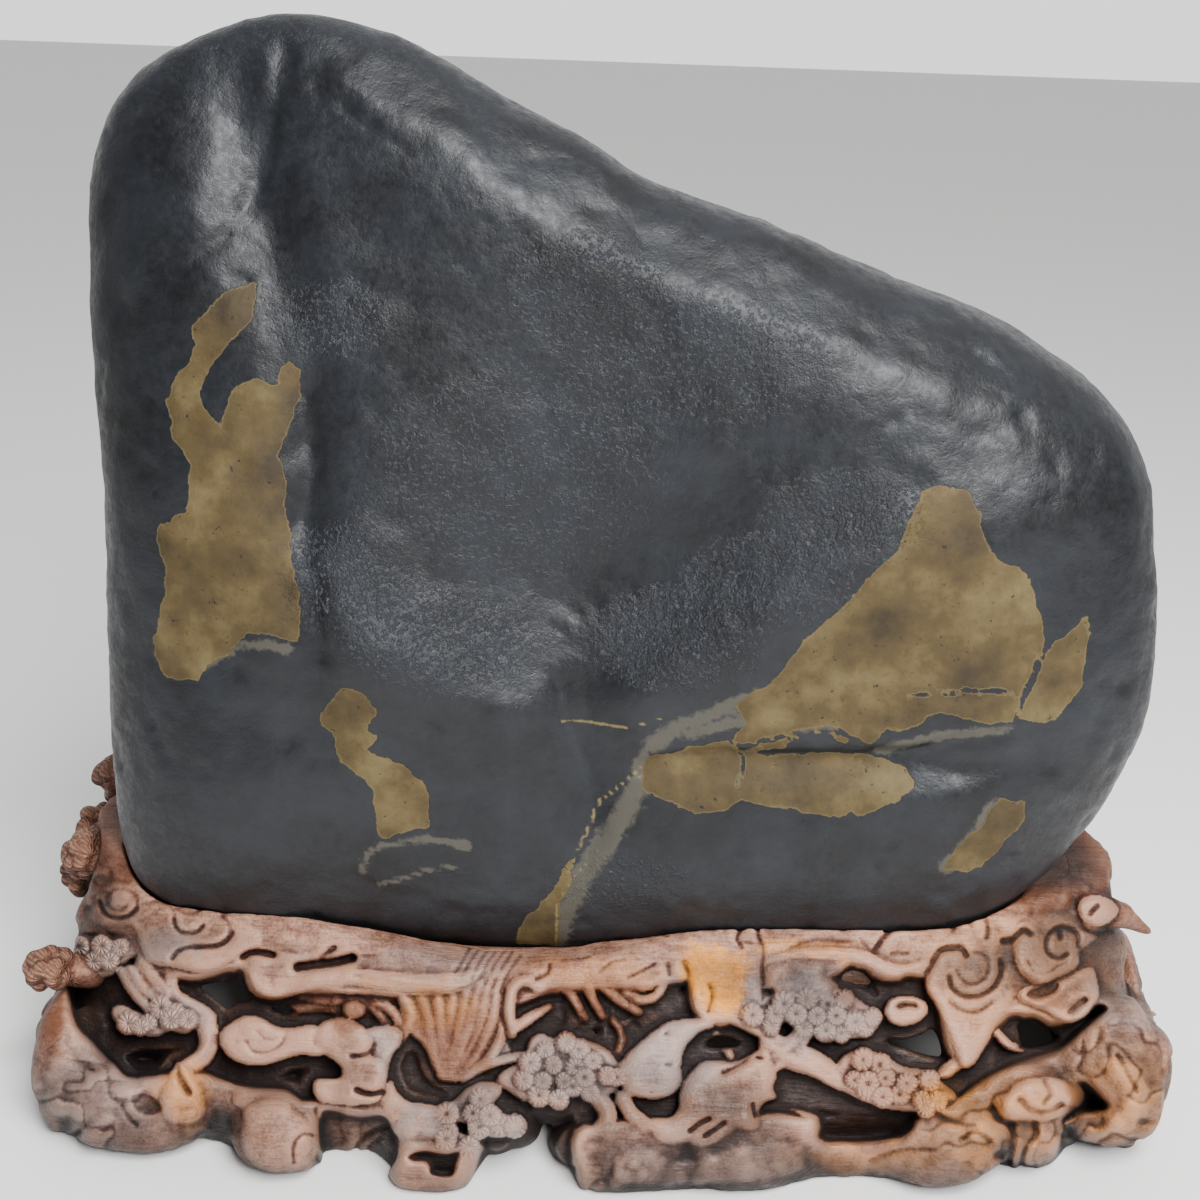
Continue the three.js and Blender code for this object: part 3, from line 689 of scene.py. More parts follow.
def stoneShell():
    # the plain body of the stone, as a closed mesh of rings round its two faces
    edge = closedCurve(stone["outline"], 1.0)
    reach = np.concatenate([[0], np.cumsum(np.linalg.norm(np.diff(edge, axis=0), axis=1))])
    even = np.linspace(0, reach[-1], stone["columns"], endpoint=False)
    edge = np.stack([np.interp(even, reach, edge[:, k]) for k in (0, 1)], 1)
    low, high = edge[:, 1].min(), edge[:, 1].max()
    middle = np.array(stone["middle"], float)
    blunt = mix(stone["bluntFoot"], stone["bluntCrown"], smooth(low, high, edge[:, 1]))
    rows, count = [], len(edge)
    steps = [(i / stone["frontRows"], True) for i in range(stone["frontRows"] + 1)]
    steps += [(i / stone["backRows"], False) for i in range(stone["backRows"] - 1, -1, -1)]
    for step, front in steps:
        share = min(1, math.sin(step * math.pi / 2) ** 0.85)
        x, z = (middle + (edge - middle) * share).T
        bulge = np.maximum(0, 1 - share ** blunt) ** (1 / blunt)
        lean = mix(1, stone["leanKeep"], smooth(stone["leanFrom"], stone["leanTo"], z))
        out = relief(stone["faceRelief" if front else "backRelief"], x, z) * (1 - share ** 6)
        y = stone["frontReach" if front else "backReach"] * lean * bulge + out
        rows.append(np.stack([x, -y if front else y, z], 1))
    points = np.vstack(rows)
    last = len(rows) - 1
    ring = np.arange(count)
    quads = [np.stack([i * count + ring, i * count + (ring + 1) % count,
                       (i + 1) * count + (ring + 1) % count, (i + 1) * count + ring], 1)
             for i in range(last)]
    return points, np.vstack(quads)


def stoneSkin(points, triangles, quads):
    # lumps, worn lines and pits on the body, moved along its normals
    normals = facing(points, triangles, quads)
    x, z = points[:, 0], points[:, 2]
    out = np.zeros(len(points))
    for size, height, seed in stone["lumps"]:
        out += height * noiseAt(points, size, seed)
    front = smooth(0.15, 0.5, -normals[:, 1])
    far, size, seed = stone["lineWander"]
    wander = far * noiseAt(points, size, seed)
    for halfWidth, height, line in stone["lines"]:
        curve = openCurve(line, 4)
        out += front * height * np.exp(-(((lineDistance(curve, x, z) + wander) / halfWidth) ** 2))
    pits = stone["pits"]
    rng = np.random.default_rng(pits["seed"])
    for index in rng.integers(0, len(points), pits["count"]):
        radius, depth = rng.uniform(*pits["radius"]), rng.uniform(*pits["depth"])
        far = np.linalg.norm(points - points[index], axis=1) / radius
        out -= depth * np.exp(-far * far)
    return points + normals * out[:, None]


# Outlines of the khaki inclusions, in photo pixels, as the front shows them
stone["inclusions"] = [
    [
        (260, 281), (230, 289), (209, 306), (191, 325), (195, 344), (189, 362), (176, 377), (168, 402),
        (174, 440), (191, 465), (187, 513), (159, 528), (157, 543), (165, 566), (163, 596), (153, 642),
        (155, 661), (166, 682), (199, 680), (209, 663), (230, 653), (249, 632), (268, 636), (298, 643),
        (300, 615), (291, 550), (287, 497), (285, 474), (275, 459), (289, 432), (302, 394), (297, 367),
        (283, 360), (274, 383), (249, 377), (233, 386), (226, 406), (220, 427), (209, 415), (203, 390),
        (210, 364), (230, 344), (253, 321),
    ],
    [
        (344, 687), (325, 707), (318, 724), (337, 737), (337, 754), (356, 772), (371, 787), (377, 833),
        (383, 839), (406, 829), (429, 825), (432, 802), (425, 783), (402, 766), (379, 756), (367, 749),
        (377, 737), (367, 730), (379, 714), (364, 695),
    ],
    [
        (941, 484), (967, 490), (979, 513), (990, 550), (1006, 563), (1025, 569), (1032, 592),
        (1044, 630), (1044, 649), (1071, 630), (1090, 615), (1086, 665), (1074, 699), (1052, 722),
        (983, 722), (933, 714), (918, 726), (883, 730), (868, 745), (845, 745), (826, 733), (803, 733),
        (784, 749), (742, 752), (734, 737), (745, 722), (732, 707), (753, 691), (776, 680), (787, 668),
        (803, 642), (830, 619), (864, 584), (898, 550), (912, 520), (921, 494),
    ],
    [
        (765, 756), (814, 753), (868, 754), (902, 764), (914, 783), (898, 802), (864, 816), (814, 814),
        (776, 806), (742, 802), (711, 814), (692, 816), (673, 802), (640, 789), (642, 768), (654, 753),
        (696, 745), (734, 742),
    ],
    [(998, 797), (983, 825), (956, 844), (941, 871), (983, 867), (1006, 837), (1025, 821), (1027, 802)],
    [(515, 945), (525, 918), (551, 894), (566, 866), (578, 850), (572, 880), (560, 905), (558, 945)],
]
stone["inclusionReach"] = 18  # how far behind the middle of the edge one still shows, in millimetres
stone["veins"] = [  # half width in pixels, then points
    (2.6, [(562, 722), (590, 722), (624, 727), (660, 720)]),
    (3.5, [(600, 800), (614, 790), (628, 778), (641, 768)]),
    (4.0, [(578, 850), (588, 828), (600, 800)]),
    (2.6, [(555, 944), (558, 905), (572, 880), (600, 850)]),
]
# cracks and dark seams across the inclusions, the same way
stone["seams"] = [
    (2.4, [(1044, 649), (1036, 670), (1026, 690), (1017, 722)]),
    (2.6, [(735, 748), (790, 735), (830, 728), (850, 738), (885, 748), (905, 753)]),
    (1.8, [(905, 697), (940, 694), (980, 690), (1015, 692)]),
    (2.0, [(742, 752), (744, 765), (740, 785)]),
]
# grey-tan streaks rubbed over the black, the same way
stone["smears"] = [
    (15, [(646, 762), (632, 800), (608, 838), (584, 876), (568, 905), (556, 940)]),
    (10, [(650, 745), (690, 722), (735, 705), (780, 690)]),
    (8, [(690, 735), (735, 722), (780, 728), (830, 722)]),
    (14, [(660, 775), (700, 778), (740, 782)]),
    (5, [(362, 872), (372, 850), (392, 846), (430, 838), (470, 848)]),
    (3, [(380, 886), (420, 872), (455, 866)]),
    (9, [(995, 806), (980, 830), (960, 850), (945, 868)]),
    (6, [(204, 664), (240, 646), (290, 650)]), (6, [(880, 750), (940, 735), (1010, 730)]),
]


def inclusionValues(points):
    # what the stone's material reads at each point; an inclusion is 0.5 on its margin, more inside
    pixels = np.stack(photoPixels(*points.T), 1)
    wander = sum(far * np.stack([noiseAt(points, size, seed) for seed in seeds], 1)
                 for far, size, *seeds in stone["edgeWander"])
    x, z = (pixels + wander).T
    near = np.full(len(points), 1e3)
    for outline in stone["inclusions"]:
        near = np.minimum(near, outlineDistance(np.array(outline, float), x, z))
    for halfWidth, line in stone["seams"]:
        near = np.maximum(near, halfWidth - lineDistance(openCurve(line, 6), x, z))
    near += 3 * np.maximum(0, points[:, 1] - stone["inclusionReach"])
    vein = np.zeros(len(points))
    for halfWidth, line in stone["veins"]:
        curve = openCurve(line, 6)
        vein = np.maximum(vein, np.exp(-((lineDistance(curve, *pixels.T) / halfWidth) ** 2)))
    smear = np.zeros(len(points))
    for halfWidth, line in stone["smears"]:
        smear = np.maximum(smear, smooth(1.5, 0, lineDistance(openCurve(line, 8), x, z) / halfWidth))
    front = points[:, 1] < 0
    # the back has an even glint, which fades into the front's bands
    glint = mix(0.35, spotted(stone["glints"], *pixels.T), smooth(10, -20, points[:, 1]))
    return {"inclusion": np.clip(0.5 - near / stone["edgeSoft"], 0, 1),
            "vein": vein * front * stone["veinShare"], "glint": glint, "smear": smear * front}


def makeStone():
    points, quads = stoneShell()
    step = stone["skinStep"]
    grid = openvdb.FloatGrid.createLevelSetFromPolygons(
        (points / step).astype(np.float32), quads=quads.astype(np.uint32), halfWidth=4.0)
    smoothed, triangles, quads = grid.convertToPolygons(0.0, 0.0)
    triangles, quads = triangles.astype(np.int64)[:, ::-1], quads.astype(np.int64)[:, ::-1]
    points = stoneSkin(smoothed * step, triangles, quads)
    makeObject("stoneBody", (points, triangles, quads), stoneMaterial, "stone",
               inclusionValues(points))
    return grid


stoneGrid = makeStone()


def stoneDistance(block):
    # distance from the stone over a block, held level beyond a few skin steps
    step = stone["skinStep"]
    low = [int(math.floor(axis[0] / step)) for axis in block["axes"]]
    counts = [int(axis[-1] / step) + 3 - a for axis, a in zip(block["axes"], low)]
    values = np.zeros(counts, np.float32)
    stoneGrid.copyToArray(values, ijk=tuple(low))
    return stretched(values * step, block, step, low, soft=False)


# The stand's outer surface is a rounded oval that grows from the rim down to the plinth
apron = {
    "rimLevel": 80,
    "plinthLevel": 26,
    "rimHalf": (200, 59),
    "plinthHalf": (213, 95),
    "squareness": 3,
    "wallHeights": (22, 45),
    "wallThick": (24, 14),
    "rimLine": [(-205, 97), (-150, 91), (-95, 79), (-45, 71), (-10, 73), (30, 82), (60, 88), (110, 89),
                (160, 92), (205, 93)],
}
# The line where the front stands on the floor, in photo pixels
apron["floorLine"] = [
    (40, 1120), (50, 1124), (64, 1126), (78, 1138), (95, 1145), (112, 1149), (130, 1151), (146, 1148),
    (162, 1146), (190, 1145), (215, 1146), (230, 1152), (246, 1161), (262, 1166), (285, 1170),
    (310, 1173), (322, 1168), (345, 1166), (366, 1168), (380, 1176), (392, 1190), (415, 1196),
    (440, 1197), (462, 1194), (520, 1196), (582, 1197), (600, 1199), (640, 1198), (680, 1197),
    (715, 1196), (745, 1197), (772, 1196), (795, 1190), (814, 1184), (850, 1182), (880, 1184),
    (910, 1187), (935, 1184), (950, 1175), (962, 1164), (976, 1161), (990, 1165), (1005, 1173),
    (1020, 1177), (1040, 1176), (1055, 1170), (1065, 1160), (1078, 1152), (1100, 1149), (1140, 1149),
    (1158, 1143), (1170, 1130),
]
apron["rocks"] = [  # x, y, z and the three half sizes
    (-194, -54, 20, 20, 28, 28), (-202, -4, 21, 13, 32, 30), (-166, -77, 14, 26, 17, 20),
    (-150, -75, 24, 15, 15, 20), (-113, -84, 13, 19, 17, 18), (-58, -88, 9, 17, 14, 14),
    (16, -84, 15, 20, 17, 20), (48, -82, 12, 26, 17, 19), (124, -78, 17, 24, 20, 22),
    (152, -75, 24, 20, 13, 20), (190, -55, 30, 26, 25, 30), (208, -6, 28, 13, 34, 32),
    (-190, 56, 24, 20, 26, 28), (-130, 78, 14, 34, 17, 20), (-64, 83, 13, 34, 15, 18),
    (88, 82, 15, 34, 15, 19), (188, 56, 24, 22, 28, 29),
]


def apronHalf(z):
    span = apron["rimLevel"] - apron["plinthLevel"]
    share = np.clip((apron["rimLevel"] - z) / span, -0.2, 1)
    return [mix(apron["rimHalf"][k], apron["plinthHalf"][k], share) for k in (0, 1)]


def apronDepth(x, z):
    halfX, halfY = apronHalf(z)
    left = 1 - np.minimum(1, np.abs(x / halfX)) ** apron["squareness"]
    return halfY * left ** (1 / apron["squareness"])


def rimHeight(x):
    line = openCurve(apron["rimLine"], 3)
    return np.interp(x, line[:, 0], line[:, 1]).astype(np.float32)


def ovalDistance(x, y, half, squareness):
    far = ((np.abs(x) / half[0]) ** squareness + (np.abs(y) / half[1]) ** squareness) ** (1 / squareness)
    far = np.maximum(far, 1e-3)
    slopeX = (np.abs(x) / half[0]) ** (squareness - 1) / half[0]
    slopeY = (np.abs(y) / half[1]) ** (squareness - 1) / half[1]
    slope = far ** (1 - squareness) * np.hypot(slopeX, slopeY)
    return (far - 1) / np.maximum(slope, 1 / max(np.max(half[0]), np.max(half[1])))


# Carving sheets: how many millimetres the wood stands proud of the apron, over u and v. The front
# sheet is drawn in photo pixels, the back sheet in millimetres as seen from behind.

def newSheet(low, high, cell, unit):
    axes = [np.arange(a, b, cell, dtype=np.float32) for a, b in zip(low, high)]
    shape = (len(axes[0]), len(axes[1]))
    layers = {name: np.zeros(shape, np.float32) for name in ("height", "pad", "needleU", "needleV")}
    return {"axes": axes, "cell": cell, "unit": unit, **layers}


def around(sheet, points, margin):
    # the cells of a sheet round some points, and their u and v
    points = np.asarray(points, float)[:, :2]
    spare = margin * sheet["unit"] + sheet["cell"]
    cells = []
    for k, axis in enumerate(sheet["axes"]):
        first = int((points[:, k].min() - spare - axis[0]) / sheet["cell"])
        last = int((points[:, k].max() + spare - axis[0]) / sheet["cell"]) + 2
        cells.append(slice(max(0, first), max(0, min(len(axis), last))))
    return tuple(cells), sheet["axes"][0][cells[0]][:, None], sheet["axes"][1][cells[1]][None, :]


def inwards(sheet, outline):
    # an outline's cells and how many millimetres inside it they are
    curve = closedCurve(outline, max(2.5 * sheet["cell"], len(outline) / 8))
    cells, u, v = around(sheet, curve, 1)
    return cells, v, -outlineDistance(curve, u, v) / sheet["unit"]


def lay(sheet, cells, level):
    sheet["height"][cells] = np.maximum(sheet["height"][cells], level)


noWood = -99.0  # a height that is never reached, outside a raised shape


def plate(sheet, height, tilt, rounding, outline):
    # a raised shape with rounded edges; its height falls by `tilt` for each step of v above its foot
    cells, v, inside = inwards(sheet, outline)
    rise = np.sqrt(1 - (1 - np.clip(inside / rounding, 0, 1)) ** 2)
    top = height - tilt * (max(p[1] for p in outline) - v) / sheet["unit"]
    lay(sheet, cells, np.where(inside > 0, top - rounding * (1 - rise), noWood))


def sink(sheet, level, outline, slope=5):
    # a hollow down to a level, or right through when that is deeper than the wood
    cells, v, inside = inwards(sheet, outline)
    floor = np.maximum(level, 4 - slope * inside)
    sheet["height"][cells] = np.where(inside > 0, np.minimum(sheet["height"][cells], floor),
                                      sheet["height"][cells])


def groove(sheet, halfWidth, depth, line):
    curve = openCurve(line, 2.5 * sheet["cell"])
    cells, u, v = around(sheet, curve, 3 * halfWidth)
    far = lineDistance(curve, u, v) / sheet["unit"]
    sheet["height"][cells] -= depth * np.exp(-((far / halfWidth) ** 4))


strands = {"height": 0.45, "count": 5.2, "twist": 0.22}  # a root looks twisted from a few strands


def rod(sheet, line):
    # a root along points of u, v, radius and height of its crest
    curve = openCurve(line, 3 * sheet["cell"])
    cells, u, v = around(sheet, curve, curve[:, 2].max())
    level = np.full(np.broadcast(u, v).shape, noWood)
    along = 0.0
    for (au, av, startRadius, startTop), (bu, bv, endRadius, endTop) in zip(curve[:-1], curve[1:]):
        du, dv = bu - au, bv - av
        length = math.hypot(du, dv) + 1e-6
        t = np.clip(((u - au) * du + (v - av) * dv) / length ** 2, 0, 1)
        aside = ((u - au) * dv - (v - av) * du) / length / sheet["unit"]
        far = np.hypot(u - au - t * du, v - av - t * dv) / sheet["unit"]
        radius = mix(startRadius, endRadius, t)
        turn = (strands["count"] * aside / radius
                + strands["twist"] * (along + t * length) / sheet["unit"])
        height = (mix(startTop, endTop, t) - radius + np.sqrt(np.maximum(0, radius ** 2 - far ** 2))
                  + strands["height"] * np.minimum(1, radius / 4) * np.cos(turn))
        level = np.where((far < radius) & (height > level), height, level)
        along += length
    lay(sheet, cells, level)


tufts = {  # the pine sprays, in millimetres
    "spacing": 6.2,
    "rowSpacing": 0.8,  # as a share of the spacing
    "scatter": 0.15,
    "radius": 3.4,
    "radiusShare": (0.8, 1.2),
    "raised": (-0.9, 0.9),
    "dome": 2.4,
    "pit": 2.8,
    "pitRadius": 1.0,
    "inset": 1.0,
    "under": 5.0,  # the plate that carries them is this much lower
    "underRounding": 2.5,
    "needlesFrom": (0.15, 0.45),
}


def spray(sheet, height, seed, outline):
    # a pine spray: small domed tufts of needles side by side over a shape
    plate(sheet, height - tufts["under"], 0, tufts["underRounding"], outline)
    cells, v, inside = inwards(sheet, outline)
    rng = np.random.default_rng(seed)
    unit, cell = sheet["unit"], sheet["cell"]
    points = np.array(outline, float)
    low, high = points.min(0), points.max(0)
    spacing = tufts["spacing"] * unit
    rows = np.arange(low[1], high[1] + spacing, spacing * tufts["rowSpacing"])
    for row, downwards in enumerate(rows):
        for across in np.arange(low[0] + (row % 2) * spacing / 2, high[0] + spacing, spacing):
            middle = np.array([across, downwards]) + rng.normal(size=2) * spacing * tufts["scatter"]
            radius = tufts["radius"] * rng.uniform(*tufts["radiusShare"])
            raised = rng.uniform(*tufts["raised"])
            index = [int((middle[k] - sheet["axes"][k][0]) / cell) - cells[k].start for k in (0, 1)]
            if not all(0 <= index[k] < inside.shape[k] for k in (0, 1)):
                continue
            if inside[index[0], index[1]] < tufts["inset"]:
                continue
            own, u, v = around(sheet, [middle], radius)
            du, dv = (u - middle[0]) / unit, (v - middle[1]) / unit
            far = np.hypot(du, dv) / radius
            level = height + raised + tufts["dome"] * (np.sqrt(np.maximum(0, 1 - far * far)) - 1)
            level = level - tufts["pit"] * np.exp(-((far * radius / tufts["pitRadius"]) ** 2))
            over = (far < 1) & (level > sheet["height"][own])
            share = smooth(*tufts["needlesFrom"], far)
            for name, value in (("height", level), ("needleU", du), ("needleV", dv), ("pad", share)):
                sheet[name][own] = np.where(over, value, sheet[name][own])


def flatNoise(sheet, cells, size, seed):
    # smooth random values over a sheet's cells, changing over `size` millimetres
    u, v = np.meshgrid(sheet["axes"][0][cells[0]], sheet["axes"][1][cells[1]], indexing="ij")
    points = np.stack([u.ravel(), v.ravel(), np.zeros(u.size)], 1) / sheet["unit"]
    return noiseAt(points, size, seed).reshape(u.shape)


weathered = {"lump": 1.2, "fineShare": 0.5, "fineSize": 2.2, "lineWidth": 0.13, "fadeFrom": 0.65}


def weather(sheet, size, depth, seed, middle, half):
    # winding grooves and lumps, as water wears into rock, over an oval
    middle, half = np.array(middle, float), np.array(half, float)
    cells, u, v = around(sheet, [middle - half, middle + half], 0)
    far = np.hypot((u - middle[0]) / half[0], (v - middle[1]) / half[1])
    fine = flatNoise(sheet, cells, size / weathered["fineSize"], seed + 1)
    bends = flatNoise(sheet, cells, size, seed) + weathered["fineShare"] * fine
    lines = np.exp(-((bends / weathered["lineWidth"]) ** 2))
    share = smooth(1.0, weathered["fadeFrom"], far)
    sheet["height"][cells] += share * (weathered["lump"] * bends - depth * lines)


def readSheet(sheet, name, u, v):
    at = [(value - axis[0]) / sheet["cell"] for value, axis in zip((u, v), sheet["axes"])]
    i, j = (np.clip(value, 0, len(axis) - 2).astype(np.int32) for value, axis in zip(at, sheet["axes"]))
    s, t = (np.clip(value - cell, 0, 1).astype(np.float32) for value, cell in zip(at, (i, j)))
    values = sheet[name]
    near = values[i, j] * (1 - t) + values[i, j + 1] * t
    far = values[i + 1, j] * (1 - t) + values[i + 1, j + 1] * t
    return near + (far - near) * s


sheetFinish = {
    "through": -60,  # a level that is deeper than the wood is thick
    "spraySeed": 100,
    "rockSeed": 200,
    "toolMarks": ((9, 0.5, 309), (4, 0.4, 304), (2, 0.25, 302)),  # size, height, seed
    "levels": (-14, 9),  # heights past these look no more worn or sunk
    "wornReach": (1.0, 4.0),  # how near and how far round a place its wear is judged
    "wornShare": (0.28, 0.07),
    "plainWear": 0.46,
    "sunkFrom": -3,
    "sunkOver": 8,
}


def carveSheet(sheet, design):
    # draws a design: the big recess, roots, raised shapes, sprays, then hollows, holes and grooves
    for level, outline in design["recess"]:
        sink(sheet, level, outline)
    for line in design["roots"]:
        rod(sheet, line)
    for height, tilt, rounding, outline in design["plates"]:
        plate(sheet, height, tilt, rounding, outline)
    for i, (height, outline) in enumerate(design["sprays"]):
        spray(sheet, height, sheetFinish["spraySeed"] + i, outline)
    for level, outline in design["hollows"]:
        sink(sheet, level, outline)
    for outline in design["holes"]:
        sink(sheet, sheetFinish["through"], outline)
    for halfWidth, depth, line in design["grooves"]:
        groove(sheet, halfWidth, depth, line)
    for i, rock in enumerate(design["rocks"]):
        weather(sheet, *rock[:2], sheetFinish["rockSeed"] + 2 * i, *rock[2:])
    everywhere = (slice(None), slice(None))
    for size, height, seed in sheetFinish["toolMarks"]:
        sheet["height"] += height * (1 - sheet["pad"]) * flatNoise(sheet, everywhere, size, seed)
    level = np.clip(sheet["height"], *sheetFinish["levels"])
    # wear and painted light: ridges paler and dips darker than the surface round them, as rubbed high
    # spots, highlight and shade
    sheet["worn"] = np.full_like(level, sheetFinish["plainWear"])
    for share, reach in zip(sheetFinish["wornShare"], sheetFinish["wornReach"]):
        cellsRound = int(reach * sheet["unit"] / sheet["cell"]) + 1
        sheet["worn"] = sheet["worn"] + share * (level - blurred(level, cellsRound))
    sheet["worn"] = np.clip(sheet["worn"], 0, 1)
    # painted shade: the deeper a place lies, the darker it is coloured
    sheet["sunkShade"] = np.clip((sheetFinish["sunkFrom"] - level) / sheetFinish["sunkOver"], 0, 1)


